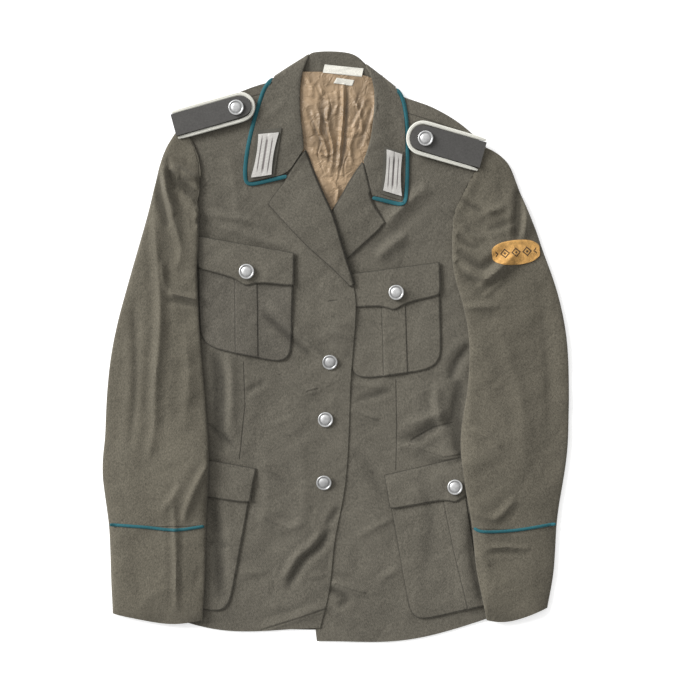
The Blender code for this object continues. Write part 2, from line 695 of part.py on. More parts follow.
SLEEVE_LEFT = [
    [(264, -324), (232, -337), (208, -342), (187, -339)],
    [(271, -290), (225, -304), (180, -305)],
    [(274, -259), (222, -267), (173, -271)],
    [(276, -220), (221, -227), (182, -228), (169, -222)],
    [(280, -190), (222, -194), (162, -186)],
    [(286, -156), (157, -152)],
    [(290, -124), (154, -124)],
    [(291, -90), (156, -92)],
    [(291.6, -55), (162, -61)],
    [(291, -21), (165, -27)],
    [(289, 10), (165.5, 6)],
    [(284, 42), (160.5, 41)],
    [(276, 74), (154, 65)],
    [(267, 100), (147.5, 86)],
    [(256, 129), (201, 117), (144.5, 104)],
    [(246, 161), (196, 140), (144, 116)],
    [(232, 189), (190, 161), (144, 127)],
    [(222, 215), (185, 181), (144, 136)],
    [(213, 241), (177, 195), (144.5, 144)],
    [(189, 251), (179, 225), (169, 208), (159, 190), (151.5, 174), (147, 155)],
]
SLEEVE_LEFT_FOLDS = [
    (149, 122, 182, 100, 2.0, 11), (182, 100, 220, 131, 2.0, 11), (239, 166, 235, 129, 2.2, 9),
    (157, 178, 211, 169, 1.4, 9), (171, -105, 202, -128, 1.6, 9), (175, -206, 220, -194, 1.3, 9),
    (172, -256, 189, -270, 1.0, 8), (160, 50, 200, 51, 1.3, 9),
]
SLEEVE_EDGE = 2.2    # how far in from the folded edges the two walls stand apart
SLEEVE_AIR = 2.2     # free height inside a sleeve at its middle
SLEEVE_CELLS = dict(across=7, along=26)


def lay_sleeve(name, rows, folds):
    plan = cut_panel(rows, **SLEEVE_CELLS)
    outer, inner = plan[:, :1], plan[:, -1:]
    near_outer = towards(outer, plan[:, 1:2], SLEEVE_EDGE)
    near_inner = towards(inner, plan[:, -2:-1], SLEEVE_EDGE)
    plan = np.hstack([outer, near_outer, plan[:, 1:-1], near_inner, inner])
    low = resting(plan)
    width = np.linspace(-1, 1, plan.shape[1])[None, :]
    up = np.clip(np.arange(plan.shape[0]) / 1.5, 0, 1)[:, None]
    head = np.clip(np.arange(plan.shape[0])[::-1] / 2.0, 0, 1)[:, None]
    air = (0.5 + SLEEVE_AIR * np.sqrt(np.clip(1 - width**2, 0, 1)) * (0.35 + 0.65 * up)) * head
    high = low + 2 * CLOTH + GAP + air + fold_relief(plan, folds) * head * up
    middle = (low + high) / 2
    lower = np.dstack([plan, low])[:, 1:-1]
    upper = np.dstack([plan, high])[:, 1:-1][:, ::-1]
    edge_outer = np.dstack([plan, middle])[:, :1]
    edge_inner = np.dstack([plan, middle])[:, -1:]
    ring = np.hstack([edge_outer, lower, edge_inner, upper, edge_outer])
    grid_sheet(name, ring, make_material(name + "_wool", WOOL, 0.9), CLOTH, -1.0, tube=True)


lay_sleeve("sleeve_right", SLEEVE_RIGHT, SLEEVE_RIGHT_FOLDS)
lay_sleeve("sleeve_left", SLEEVE_LEFT, SLEEVE_LEFT_FOLDS)


# Cuff piping over the upper wall of each sleeve, a hand's breadth above the cuff.
CUFF_PIPING = {
    "right": [(-281, -220), (-240, -222.5), (-200, -226), (-164, -221.5)],
    "left": [(172, -224), (182, -228), (220, -227), (273, -219)],
}
for place, points in CUFF_PIPING.items():
    path = even_steps(points, 22)
    tops = np.array([
        max(top_at(x + i, y + j) for i in (-2.2, 0, 2.2) for j in (-1.8, 0, 1.8)) for x, y in path
    ])
    tops = np.maximum(tops, np.maximum(np.roll(tops, 1), np.roll(tops, -1)) - 0.8)
    level = tops + GAP + PIPING_HIGH / 2
    cord("cuff_piping_" + place, np.column_stack([path, level]), PIPING, PIPING_HIGH,
         make_material("cuff_piping_teal_" + place, TEAL, 0.8), sides=6)


# Shoulder boards: stiff felt, a round inner end, a doubled pale cord along the edge.
BOARDS = {           # tip of the round end, middle of the outer end, half width of the felt
    "right": ((-105.5, 303.5), (-202, 277), 13.8),
    "left": ((93, 265.5), (183, 240), 16.4),
}
BOARD = 3.2
CORD, CORD_HIGH = 4.6, 3.0
ROUND_END = 14.0     # length of the rounded end
ROUND_ANGLES = (12, 32, 56, 90)      # degrees round the end, from the tip
MOST_TILT = 0.10
SHOULDER_BUTTON_FROM_TIP = 19.0


def on_plane(plane, spot):
    """Height of a tilted plane: its level at the tip, its rise along and across."""
    tip, on, over, level, rise_on, rise_over = plane
    return level + (spot - tip) @ on * rise_on + (spot - tip) @ over * rise_over


for place, (tip, end, half) in BOARDS.items():
    tip, end = np.array(tip), np.array(end)
    length = np.linalg.norm(end - tip)
    on = (end - tip) / length
    over = np.array((-on[1], on[0]))
    reach = half + CORD + 1.0
    spots = np.array([
        tip + on * s + over * w
        for s in np.linspace(-CORD - 1, length, 24) for w in np.linspace(-reach, reach, 13)
    ])
    tops = np.array([top_at(*spot) for spot in spots])
    terms = np.column_stack([np.ones(len(spots)), (spots - tip) @ on, (spots - tip) @ over])
    level, rise_on, rise_over = np.linalg.lstsq(terms, tops, rcond=None)[0]
    rise_on, rise_over = np.clip((rise_on, rise_over), -MOST_TILT, MOST_TILT)
    level = (tops - terms[:, 1] * rise_on - terms[:, 2] * rise_over).max() + GAP
    plane = (tip, on, over, level, rise_on, rise_over)

    turns = np.radians(ROUND_ANGLES)
    outline = [(ROUND_END * (1 - math.cos(t)), half * math.sin(t)) for t in turns]
    outline += [(s, half) for s in np.linspace(ROUND_END, length, 5)[1:]]
    plan = np.array([
        [tip + on * s + over * w * a for a in np.linspace(1, -1, 7)] for s, w in outline
    ])
    height = np.array([[on_plane(plane, spot) for spot in row] for row in plan])
    grid_sheet("shoulder_board_" + place, np.dstack([plan, height]),
               make_material("board_felt_" + place, DARK_FELT, 0.95), BOARD, 1.0)
    away = CORD / 2 + GAP + 0.2
    turns = np.radians((90, 68, 45, 22, 0, -22, -45, -68, -90))
    bend = [tip + on * (ROUND_END - (ROUND_END + away) * math.cos(t))
            + over * (half + away) * math.sin(t) for t in turns]
    sides = [[tip + on * s + over * w for s in np.linspace(length, ROUND_END, 4)[:-1]]
             for w in (half + away, -half - away)]
    path = even_steps(sides[0] + bend + sides[1][::-1], 34)
    level_path = [on_plane(plane, spot) + CORD_HIGH / 2 + 0.1 for spot in path]
    cord("board_cord_" + place, np.column_stack([path, level_path]), CORD, CORD_HIGH,
         make_material("board_cord_white_" + place, WHITE, 0.8), sides=6)
    button("button_shoulder_" + place, tip + on * SHOULDER_BUTTON_FROM_TIP)


# Arm patch: a rounded embroidered piece of ochre on the left sleeve.
PATCH_MIDDLE = (224, 119)
PATCH_HALF = (30.0, 15.5)
PATCH_TURN = math.radians(6)
across = np.array((-1.0, -0.93, -0.75, -0.4, 0.0, 0.4, 0.75, 0.93, 1.0))
half = PATCH_HALF[1] * np.sqrt(1 - 0.86 * abs(across) ** 3)
rows = np.linspace(-1, 1, 5)[:, None]
x = np.broadcast_to(across * PATCH_HALF[0], (5, len(across)))
y = rows * half
plan = np.dstack([
    PATCH_MIDDLE[0] + x * math.cos(PATCH_TURN) - y * math.sin(PATCH_TURN),
    PATCH_MIDDLE[1] + x * math.sin(PATCH_TURN) + y * math.cos(PATCH_TURN),
])
lay_sheet("arm_patch", plan, CLOTH, make_material("arm_patch_ochre", OCHRE, 0.8))


# The origin goes to the middle of the overall outline, on the surface the jacket lies on.
OUTLINE_MIDDLE = (-0.497, 2.125)
for piece in jacket.objects:
    piece.location -= Vector((*OUTLINE_MIDDLE, 0)) * MM
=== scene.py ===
"""Dress uniform jacket laid flat on its back: the cloth, seams, creases and trim."""

import math

import bmesh
import bpy
import numpy as np
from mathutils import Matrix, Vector
from mathutils.bvhtree import BVHTree


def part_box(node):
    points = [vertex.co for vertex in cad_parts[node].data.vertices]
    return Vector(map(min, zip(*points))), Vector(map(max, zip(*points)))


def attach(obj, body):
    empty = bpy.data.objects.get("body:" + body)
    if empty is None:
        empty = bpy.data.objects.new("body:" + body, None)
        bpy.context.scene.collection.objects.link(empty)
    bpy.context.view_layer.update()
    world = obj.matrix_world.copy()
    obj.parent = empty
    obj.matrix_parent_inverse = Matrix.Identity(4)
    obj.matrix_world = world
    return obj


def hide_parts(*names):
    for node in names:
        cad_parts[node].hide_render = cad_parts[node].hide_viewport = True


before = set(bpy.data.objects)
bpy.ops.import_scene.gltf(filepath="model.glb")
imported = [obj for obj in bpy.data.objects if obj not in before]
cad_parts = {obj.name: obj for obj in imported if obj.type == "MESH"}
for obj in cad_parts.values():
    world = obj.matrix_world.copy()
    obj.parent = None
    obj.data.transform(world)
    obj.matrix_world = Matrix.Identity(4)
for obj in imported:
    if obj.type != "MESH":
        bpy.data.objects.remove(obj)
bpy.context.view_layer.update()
bpy.ops.object.select_all(action="DESELECT")


# Back panel: olive grey wool twill, cut as two halves with a seam down the middle and
# laid face down, so that the whole jacket rests on it.  It is the first piece laid.
MM = 0.001
CLOTH = 1.2 * MM
PIXEL = 1.25 * MM            # one pixel of the photograph on the cloth
MIDDLE_U, MIDDLE_V = 335.6, 346.3    # the pixel at the middle of the jacket


def at(u, v):
    """The place on the jacket that a pixel of the photograph shows."""
    return (u - MIDDLE_U) * PIXEL, (MIDDLE_V - v) * PIXEL


def smooth(value, start, stop):
    """A share that goes softly from 0 at start to 1 at stop."""
    t = np.clip((value - start) / (stop - start), 0, 1)
    return t * t * (3 - 2 * t)


def soft_line(points, steps=5):
    """A smooth curve through a few points, as short straight runs."""
    p = np.array(points, float)
    if len(p) == 2:
        return np.linspace(p[0], p[1], 4)
    ends = np.vstack([2 * p[0] - p[1], p, 2 * p[-1] - p[-2]])
    t = np.linspace(0, 1, steps, endpoint=False)[:, None]
    runs = [
        0.5 * (2 * b + (c - a) * t + (2 * a - 5 * b + 4 * c - d) * t**2
               + (3 * b - a - 3 * c + d) * t**3)
        for a, b, c, d in zip(ends, ends[1:], ends[2:], ends[3:])
    ]
    return np.vstack(runs + [p[-1:]])


def beside(x, y, line):
    """Distance from a line, signed by side, and the run along it, of many places."""
    near = np.full(x.shape, 1e9)
    side = np.ones(x.shape)
    run = np.zeros(x.shape)
    start = 0.0
    for (ax, ay), (bx, by) in zip(line, line[1:]):
        dx, dy = bx - ax, by - ay
        length = math.hypot(dx, dy)
        t = np.clip(((x - ax) * dx + (y - ay) * dy) / length**2, 0, 1)
        away = np.hypot(x - ax - t * dx, y - ay - t * dy)
        closer = away < near
        near = np.where(closer, away, near)
        side = np.where(closer, np.sign((x - ax) * dy - (y - ay) * dx), side)
        run = np.where(closer, start + t * length, run)
        start += length
    return near, side, run / start


CREASE_REACH = 3.4           # how far from its line a crease is felt, in half widths
STEEP = 1.5                  # one side of a crease is this much steeper than the other
SHOULDER = 0.22              # the cloth beside it bends back by this share of its height


def creases(x, y, table):
    """Height of soft creases: rows of rise and half width in mm, then pixels along it."""
    height = np.zeros(x.shape)
    for rise, width, *points in table:
        line = soft_line([at(*p) for p in points])
        reach = CREASE_REACH * width * MM
        low, high = line.min(axis=0) - reach, line.max(axis=0) + reach
        spot = (x > low[0]) & (x < high[0]) & (y > low[1]) & (y < high[1])
        if not spot.any():
            continue
        away, side, run = beside(x[spot], y[spot], line)
        taper = np.sqrt(np.clip(4.4 * run * (1 - run), 0, 1))
        part = away * side / (width * MM)
        wall = np.exp(-np.where(part > 0, part * STEEP, -part) ** 1.5)
        shoulder = SHOULDER * np.exp(-((abs(part) - 1.9) / 0.9) ** 2)
        height[spot] += rise * MM * taper * (wall - shoulder)
    return height


WAVES = 22


def rumple(x, y, seed, size, shortest=22.0, longest=75.0):
    """Low uneven waves, which cloth has between its creases; all lengths in mm."""
    pick = np.random.default_rng(seed)
    height = np.zeros(x.shape)
    for _ in range(WAVES):
        turn = pick.uniform(0, math.pi)
        wave = pick.uniform(shortest, longest) * MM
        shift = pick.uniform(0, 2 * math.pi)
        height += np.sin((x * math.cos(turn) + y * math.sin(turn)) / wave * 2 * math.pi + shift)
    return height * size * MM / math.sqrt(WAVES / 2)


BODY_CREASES = [
    (-3.6, 8.5, (213, 350), (219, 378), (219, 420), (223, 452)),
    (2.4, 6.0, (228, 352), (232, 380), (231, 430)),
    (-3.3, 8.0, (211, 492), (216, 520), (219, 560), (221, 600)),
    (-4.2, 9.0, (460, 380), (455, 420), (462, 462)),
    (2.7, 6.0, (436, 386), (437, 408), (443, 432)),
    (-3.9, 8.0, (470, 512), (474, 560), (482, 604)),
    (3.9, 6.0, (268, 305), (291, 325), (324, 354.5)),
    (-2.4, 5.0, (262, 312), (284, 332), (312, 356)),
    (3.0, 8.0, (208, 221), (258, 240), (292, 247)),
    (3.0, 5.5, (196, 213), (250, 222), (272, 236)),
    (1.8, 4.0, (331, 331), (354, 339)),
    (2.25, 5.0, (280, 374), (307, 391), (318, 388)),
    (-1.65, 4.0, (246, 392), (267, 381)),
    (1.5, 4.0, (275, 423), (296, 418)),
    (-1.8, 4.5, (262, 468), (286, 483)),
    (2.4, 5.5, (252, 507), (271, 521), (288, 528), (306, 522)),
    (-3.6, 5.5, (331, 527), (319, 546), (306, 556), (293, 576), (287, 590)),
    (2.7, 5.0, (322, 530), (310, 546), (297, 556), (284, 578)),
    (-1.95, 4.5, (340, 505), (326, 526)),
    (1.8, 4.5, (232, 568), (253, 572.5), (269, 571)),
    (2.4, 6.0, (262, 629), (293, 619), (316, 609), (331, 606)),
    (-1.8, 4.5, (208, 423), (237, 448)),
    (-1.5, 4.0, (206, 540), (235, 548)),
    (1.65, 3.5, (311, 575), (326, 575.6)),
    (1.95, 4.5, (349, 409), (379, 421)),
    (3.0, 5.5, (331, 581), (357, 591), (366, 593)),
    (-2.4, 5.0, (330, 588), (346, 598), (338, 606)),
    (2.1, 6.0, (333, 609), (356, 619), (382, 633)),
    (1.8, 4.5, (358, 536), (377, 526), (396, 517)),
    (1.8, 4.0, (378, 580), (400, 567)),
    (3.3, 5.0, (395, 448), (410, 444.5), (424, 450.6), (443, 457), (460, 454)),
    (-3.3, 6.0, (400, 444), (418, 438), (433, 428), (460, 422)),
    (2.1, 6.0, (400, 428), (425, 419), (452, 408)),
    (-3.0, 6.0, (470, 343), (457, 361), (449, 380)),
    (3.6, 7.0, (407, 234), (392, 245), (376, 259)),
    (3.6, 8.0, (428, 185), (404, 206), (384, 226)),
    (1.8, 4.0, (443, 204), (456, 215)),
    (1.8, 4.0, (351, 382), (368, 386), (384, 386)),
    (-1.8, 4.0, (356, 400), (374, 396), (392, 391)),
    (1.5, 9.0, (228, 150), (236, 190), (240, 222)),
    (-1.35, 8.0, (352, 450), (370, 470), (384, 500)),
    (1.35, 10.0, (262, 440), (268, 490), (258, 540)),
    (1.2, 10.0, (300, 440), (305, 490), (298, 530)),
    (-1.2, 9.0, (420, 470), (430, 520), (424, 580)),
]
HEM, NECK, SIDE = (-0.352, -0.318), (0.322, 0.26), (0.245, 0.19)    # edge, and full height
BODY_MIDDLE = -0.005
BODY_LIFT = 2.6 * MM         # how far the cloth stands off the piece below, in the middle
EASE = 0.5 * MM              # rounds the change from cloth that lies flat to a crease


def above(height):
    """A height, with its parts below the plain form eased up to it."""
    return 0.5 * (height + np.sqrt(height**2 + EASE**2))


def body_relief(x, y):
    """How far the cloth of the body stands above its plain form, never below it."""
    inside = smooth(y, *HEM) * smooth(y, *NECK) * smooth(abs(x - BODY_MIDDLE), *SIDE)
    whole = (BODY_LIFT + rumple(x, y, 5, 0.28)) * inside + creases(x, y, BODY_CREASES)
    return above(whole) - EASE / 2 * (1 - inside)


def keep(piece, name, values):
    """Stores a value at each point of a piece, for its material."""
    piece.data.attributes.new(name, "FLOAT", "POINT").data.foreach_set("value", values)


DARK_FROM = 2.4 * MM         # a crease this deep gets the full painted shade


def painted_crease_shade(x, y, *tables):
    """How deep in a crease each point lies, from 0 to 1: the share of painted shade put on the
    cloth there.
    """
    return np.clip(sum(-creases(x, y, table) for table in tables) / DARK_FROM, 0, 1)


SAME_PLACE = 2e-6
SHARP = math.radians(52)


def fine_copy(node_name, name, level, rim):
    """A merged and subdivided copy of a solid, its cut edges of width rim kept sharp."""
    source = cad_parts[node_name].data
    mesh = bpy.data.meshes.new(name)
    mesh.from_pydata([v.co for v in source.vertices], [], [f.vertices for f in source.polygons])
    shape = bmesh.new()
    shape.from_mesh(mesh)
    bmesh.ops.remove_doubles(shape, verts=shape.verts, dist=SAME_PLACE)
    bmesh.ops.join_triangles(shape, faces=shape.faces, angle_face_threshold=math.radians(50),
                             angle_shape_threshold=math.radians(70))
    sharp = shape.edges.layers.float.new("crease_edge")
    for edge in shape.edges:
        if len(edge.link_faces) == 2 and edge.calc_face_angle() > SHARP:
            shortest = min(e.calc_length() for f in edge.link_faces for e in f.edges)
            if shortest < rim * 1.3:
                edge[sharp] = 1.0
    shape.to_mesh(mesh)
    shape.free()
    piece = bpy.data.objects.new(name, mesh)
    bpy.context.scene.collection.objects.link(piece)
    bpy.context.view_layer.objects.active = piece
    finer = piece.modifiers.new("finer", "SUBSURF")
    finer.levels = finer.render_levels = level
    bpy.ops.object.modifier_apply(modifier="finer")
    return piece


def places(piece):
    """The places of a piece's points, a row each."""
    spots = np.zeros(len(piece.data.vertices) * 3)
    piece.data.vertices.foreach_get("co", spots)
    return spots.reshape(-1, 3)


def put(piece, spots):
    """Sets the places of a piece's points."""
    piece.data.vertices.foreach_set("co", spots.ravel())
    piece.data.update()


def tree_of(piece):
    """A search tree of a piece's faces."""
    piece.data.calc_loop_triangles()
    return BVHTree.FromPolygons([v.co for v in piece.data.vertices],
                                [t.vertices for t in piece.data.loop_triangles])


under = []                   # what is laid already: its search tree, low and high corner
CLEAR = 0.12 * MM            # gap kept between a piece and what it lies on
LOWEST = -4.0 * MM           # a stiff piece comes down no further than this
UP, DOWN = Vector((0, 0, 1)), Vector((0, 0, -1))


def settle(piece, rigid=False, reach=1.6 * MM, hinge=None):
    """Lifts a piece where it would pass through what lies under it, and keeps it as laid.

    A rigid piece is lifted whole; with a hinge, from its free end to the end that stays.
    """
    spots = places(piece)
    own = tree_of(piece)
    low, high = spots.min(axis=0), spots.max(axis=0)
    near = [u for u in under if (u[1][:2] < high[:2]).all() and (u[2][:2] > low[:2]).all()]
    need = np.full(len(spots), LOWEST)
    for k, (x, y, z) in enumerate(spots):
        hit = own.ray_cast(Vector((x, y, -0.1)), UP)[0]
        bottom = z if hit is None else min(hit.z, z)
        top = 0.0
        for tree, a, b in near:
            if a[0] <= x <= b[0] and a[1] <= y <= b[1] and b[2] > top:
                hit = tree.ray_cast(Vector((x, y, bottom + reach)), DOWN)[0]
                if hit is not None and hit.z > top:
                    top = hit.z
        if top > 0.0:
            need[k] = top + CLEAR - bottom
    lift = np.maximum(need, 0.0)
    if hinge is not None:
        free, stays = hinge
        on = stays - free
        left = np.clip(1 - (spots[:, :2] - free) @ on / (on @ on), 0.0, 1.1)
        base = max(need[left < 0.3].max(), LOWEST)
        lift = base + left * ((need - base) / np.maximum(left, 0.3)).max()
    elif rigid:
        lift = lift.max()
    spots[:, 2] = np.maximum(spots[:, 2] + lift, 0.02 * MM)
    put(piece, spots)
    under.append((tree_of(piece), spots.min(axis=0), spots.max(axis=0)))


def finish_piece(piece, node_name, material, angle=50):
    """Smooth shading, the finish, and the solid that the piece stands for."""
    bpy.ops.object.select_all(action="DESELECT")
    piece.select_set(True)
    bpy.context.view_layer.objects.active = piece
    bpy.ops.object.shade_smooth_by_angle(angle=math.radians(angle))
    piece.select_set(False)
    piece.data.materials.clear()
    piece.data.materials.append(material)
    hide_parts(node_name)
    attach(piece, "root")


def node(tree, kind, inputs=None, **settings):
    """Adds a shader node, with values or links for its inputs."""
    made = tree.nodes.new("ShaderNode" + kind)
    for key, value in settings.items():
        setattr(made, key, value)
    for key, value in (inputs or {}).items():
        if isinstance(value, bpy.types.NodeSocket):
            tree.links.new(value, made.inputs[key])
        else:
            made.inputs[key].default_value = value
    return made


def effect(name, inputs, outputs):
    """An empty shader group; returns its tree, its inputs and its output node."""
    tree = bpy.data.node_groups.new(name, "ShaderNodeTree")
    for side, sockets in (("INPUT", inputs), ("OUTPUT", outputs)):
        for socket, kind in sockets.items():
            tree.interface.new_socket(socket, in_out=side, socket_type="NodeSocket" + kind)
    return tree, tree.nodes.new("NodeGroupInput").outputs, tree.nodes.new("NodeGroupOutput")


def plus(tree, value, times, more):
    """A value times another, and more added to it."""
    return node(tree, "Math", {0: value, 1: times, 2: more}, operation="MULTIPLY_ADD").outputs[0]


def math_of(tree, operation, *values):
    """One step of arithmetic on values or links."""
    return node(tree, "Math", dict(enumerate(values)), operation=operation).outputs[0]


def vector_math(tree, operation, one, two):
    """One step of arithmetic on two vectors; its vector comes first, then its value."""
    return node(tree, "VectorMath", {0: one, 1: two}, operation=operation).outputs


def noise(tree, place, scale, detail, **more):
    """A cloudy value, with its roughness or distortion where they matter."""
    inputs = {"Vector": place, "Scale": scale, "Detail": detail, **more}
    return node(tree, "TexNoise", inputs).outputs[0]


def kept(tree, name):
    """The value that keep stored at the points of the piece."""
    return node(tree, "Attribute", attribute_name=name).outputs["Fac"]


def shaded(tree, colour, share):
    """A colour made darker or lighter by a share."""
    return node(tree, "VectorMath", {0: colour, "Scale": share}, operation="SCALE").outputs[0]


def fall(tree, value, near, far, most=1.0, **settings):
    """A share that falls from most to nothing as a value goes from near to far."""
    return node(tree, "MapRange", {"Value": value, "From Min": near, "From Max": far,
                                   "To Min": most, "To Max": 0.0}, **settings).outputs[0]


def cloth_effect(name):
    """A shader group that turns a place and a colour into a cloth's colour and height."""
    return effect(name, {"Vector": "Vector", "Colour": "Color"},
                  {"Colour": "Color", "Height": "Float"})


def give(tree, out, colour, height):
    """What a cloth's shader group puts out."""
    tree.links.new(colour, out.inputs["Colour"])
    tree.links.new(height, out.inputs["Height"])


def start_finish(name):
    """A new material, its shader tree and the place on the object."""
    material = bpy.data.materials.new(name)
    material.use_nodes = True
    return material, material.node_tree, node(material.node_tree, "TexCoord").outputs["Object"]


def end_finish(tree, colour, height, strength, deep, **sockets):
    """Gives the shader its colour, its bump, deep millimetres, and its plain values."""
    shader = tree.nodes["Principled BSDF"]
    bump = node(tree, "Bump", {"Height": height, "Strength": strength, "Distance": deep * MM})
    tree.links.new(colour, shader.inputs["Base Color"])
    tree.links.new(bump.outputs[0], shader.inputs["Normal"])
    for socket, value in sockets.items():
        shader.inputs[socket.replace("_", " ")].default_value = value


# wool twill: slow patches, heathered yarns, slanting ribs, small wrinkles in the height
weave, given, out = cloth_effect("wool_weave")
patches = noise(weave, given["Vector"], 16.0, 3.0)
slant = node(weave, "Mapping", {"Vector": given["Vector"], "Rotation": (0, 0, math.radians(52)),
                                "Scale": (1.0, 0.6, 1.0)})
yarn = noise(weave, slant.outputs[0], 780.0, 2.0, Roughness=0.6)
ribs = node(weave, "TexWave", {"Vector": given["Vector"], "Scale": 250.0, "Distortion": 1.5,
                               "Detail": 1.0, "Detail Scale": 0.5},
            bands_direction="DIAGONAL").outputs[1]
fluff = noise(weave, given["Vector"], 330.0, 2.0)
wrinkle = noise(weave, given["Vector"], 26.0, 3.0, Roughness=0.45, Distortion=0.8)
tone = -0.22
for part, share in ((patches, 0.34), (yarn, 1.6), (fluff, 0.36), (ribs, 0.14)):
    tone = plus(weave, part, share, tone)
height = plus(weave, wrinkle, 15.0, plus(weave, ribs, 0.4, yarn))
give(weave, out, shaded(weave, given["Colour"], tone), height)

# a seam: a line from one place to another, joined to the lines before it
seam, given, out = effect("seam_line", {"Vector": "Vector", "From": "Vector", "To": "Vector",
                                        "Width": "Float", "Before": "Float"}, {"Mask": "Float"})
flat = vector_math(seam, "MULTIPLY", given["Vector"], (1, 1, 0))[0]
start = vector_math(seam, "SUBTRACT", flat, given["From"])[0]
whole = vector_math(seam, "SUBTRACT", given["To"], given["From"])[0]
dots = vector_math(seam, "DOT_PRODUCT", start, whole)["Value"]
square = vector_math(seam, "DOT_PRODUCT", whole, whole)["Value"]
share = node(seam, "Math", {0: dots, 1: square}, operation="DIVIDE", use_clamp=True).outputs[0]
off = vector_math(seam, "DISTANCE", start, shaded(seam, whole, share))["Value"]
mask = fall(seam, off, 0.0, given["Width"], interpolation_type="SMOOTHSTEP")
seam.links.new(math_of(seam, "MAXIMUM", mask, given["Before"]), out.inputs["Mask"])

WOOL = (0.128, 0.117, 0.093)
SEAM, CREASE_SHADE_WIDTH, EDGE = 1.3, 2.6, 2.0     # widths in mm of a seam, a crease line of painted shade and an edge line of painted shade


def wool(name, turn=0.0, tint=(1, 1, 1), seams=(), edge_shade=False, wear_and_crease_shade=()):
    """Wool cloth: grain turned in degrees, seams and crease lines as lines of pixels; crease
    lines, outline and crease depths get painted shade.
    """
    material, tree, place = start_finish(name)
    grain = node(tree, "Mapping", {"Vector": place, "Rotation": (0, 0, math.radians(turn))})
    cloth = node(tree, "Group", node_tree=weave)
    tree.links.new(grain.outputs[0], cloth.inputs["Vector"])
    cloth.inputs["Colour"].default_value = (*(w * t for w, t in zip(WOOL, tint)), 1)

    def lines(table, width):
        """The mask of all the lines of a table, each a chain of short runs."""
        mask = None
        for line in table:
            for one, two in zip(line, line[1:]):
                piece = node(tree, "Group", node_tree=seam)
                tree.links.new(place, piece.inputs["Vector"])
                piece.inputs["From"].default_value = (*at(*one), 0)
                piece.inputs["To"].default_value = (*at(*two), 0)
                piece.inputs["Width"].default_value = width * MM
                if mask is not None:
                    tree.links.new(mask, piece.inputs["Before"])
                mask = piece.outputs["Mask"]
        return mask

    mask, crease_shade_lines = lines(seams, SEAM), lines(wear_and_crease_shade, CREASE_SHADE_WIDTH)
    # painted shade: a dark line along the outline, where the piece steps down onto the cloth below
    if edge_shade:
        row = fall(tree, kept(tree, "edge"), 0.0, EDGE * MM, 1.35, interpolation_type="SMOOTHSTEP")
        mask = row if mask is None else math_of(tree, "MAXIMUM", row, mask)
    colour, height = cloth.outputs["Colour"], cloth.outputs["Height"]
    # seams are dark joints; the outline and crease lines are painted shade; all are grooved in the
    # bump too
    for line, dark, deep in ((mask, 0.42, 2.6), (crease_shade_lines, 0.1, 4.0)):
        if line is not None:
            colour = shaded(tree, colour, plus(tree, line, -dark, 1.0))
            height = plus(tree, line, -deep, height)
    # painted shade: the cloth is darker the deeper it lies in a crease
    colour = shaded(tree, colour, plus(tree, kept(tree, "crease_depth_shade"), -0.4, 1.0))
    end_finish(tree, colour, height, 0.55, 0.35, Roughness=0.93, Specular_IOR_Level=0.25,
               Sheen_Weight=0.12, Sheen_Roughness=0.5)
    return material


BACK_CREASES = [
    (1.05, 9.0, (230, 250), (300, 270), (380, 262)),
    (0.9, 8.0, (250, 330), (330, 350), (420, 330)),
    (1.05, 9.0, (240, 430), (300, 445), (400, 430)),
    (0.9, 9.0, (290, 500), (340, 530), (430, 520)),
]
back = fine_copy("back", "back_panel", 2, CLOTH)
spots = places(back)
rise = 0.45 * body_relief(spots[:, 0], spots[:, 1])
rise += np.maximum(creases(spots[:, 0], spots[:, 1], BACK_CREASES), 0)
spots[:, 2] += rise
put(back, spots)
settle(back)
finish_piece(back, "back", wool(
    "back_wool", 3, seams=[((337, 75), (336, 300), (332, 628)),
                           ((214, 290), (222, 420), (205, 610)),
                           ((455, 290), (440, 420), (462, 608))]))


# Lining of brown satin, which shows inside the neck.  It is loose in the jacket, so it
# lies in small sharp folds below the neck seam, with an ease pleat down its middle.
LINING_FOLDS = [
    (2.4, 2.8, (306, 79), (310, 85), (313, 93)),
    (2.25, 2.8, (312, 84), (316, 91), (320, 99)),
    (1.95, 2.6, (319, 84), (322, 92), (325, 100)),
    (-2.1, 2.8, (325, 92), (321, 110), (326, 128)),
    (3.0, 3.0, (331, 100), (327, 120), (333, 150), (330, 176)),
    (2.25, 2.6, (316, 104), (320, 118), (318, 140)),
    (-2.1, 2.6, (308, 108), (314, 126), (322, 146)),
    (2.4, 2.6, (311, 112), (318, 130), (326, 148), (328, 168)),
    (3.3, 3.0, (344, 84), (343, 110), (341, 140), (338, 170)),
    (-3.0, 2.4, (347, 84), (346, 112), (344, 142), (341, 168)),
    (2.4, 2.8, (352, 96), (358, 112), (352, 132)),
    (2.4, 2.6, (366, 98), (360, 116), (364, 136)),
    (-2.25, 2.6, (371, 110), (366, 126), (358, 150)),
    (-1.5, 1.3, (328, 92), (331, 110), (326, 128), (330, 148), (327, 168)),
    (-1.35, 1.2, (343, 104), (341, 122), (346, 140), (343, 158), (338, 180)),
    (-1.35, 1.1, (313, 128), (320, 140), (318, 156), (325, 176)),
    (-1.2, 1.1, (360, 92), (355, 108), (360, 122), (352, 138)),
    (-1.2, 1.1, (350, 150), (344, 166), (345, 180)),
    (2.25, 2.6, (357, 128), (350, 146), (352, 166)),
    (1.8, 2.4, (336, 130), (348, 136), (358, 134)),
    (1.8, 2.2, (312, 150), (322, 156), (334, 154)),
    (2.1, 2.4, (330, 180), (338, 190), (336, 202)),
    (-1.8, 2.4, (362, 104), (354, 120), (348, 128)),
    (1.8, 2.4, (336, 92), (338, 104), (334, 116)),
    (-1.8, 2.4, (322, 150), (328, 160), (338, 164)),
    (1.95, 2.4, (372, 92), (376, 108), (370, 124)),
]
satin, given, out = cloth_effect("satin_weave")
cloud = noise(satin, given["Vector"], 30.0, 4.0)
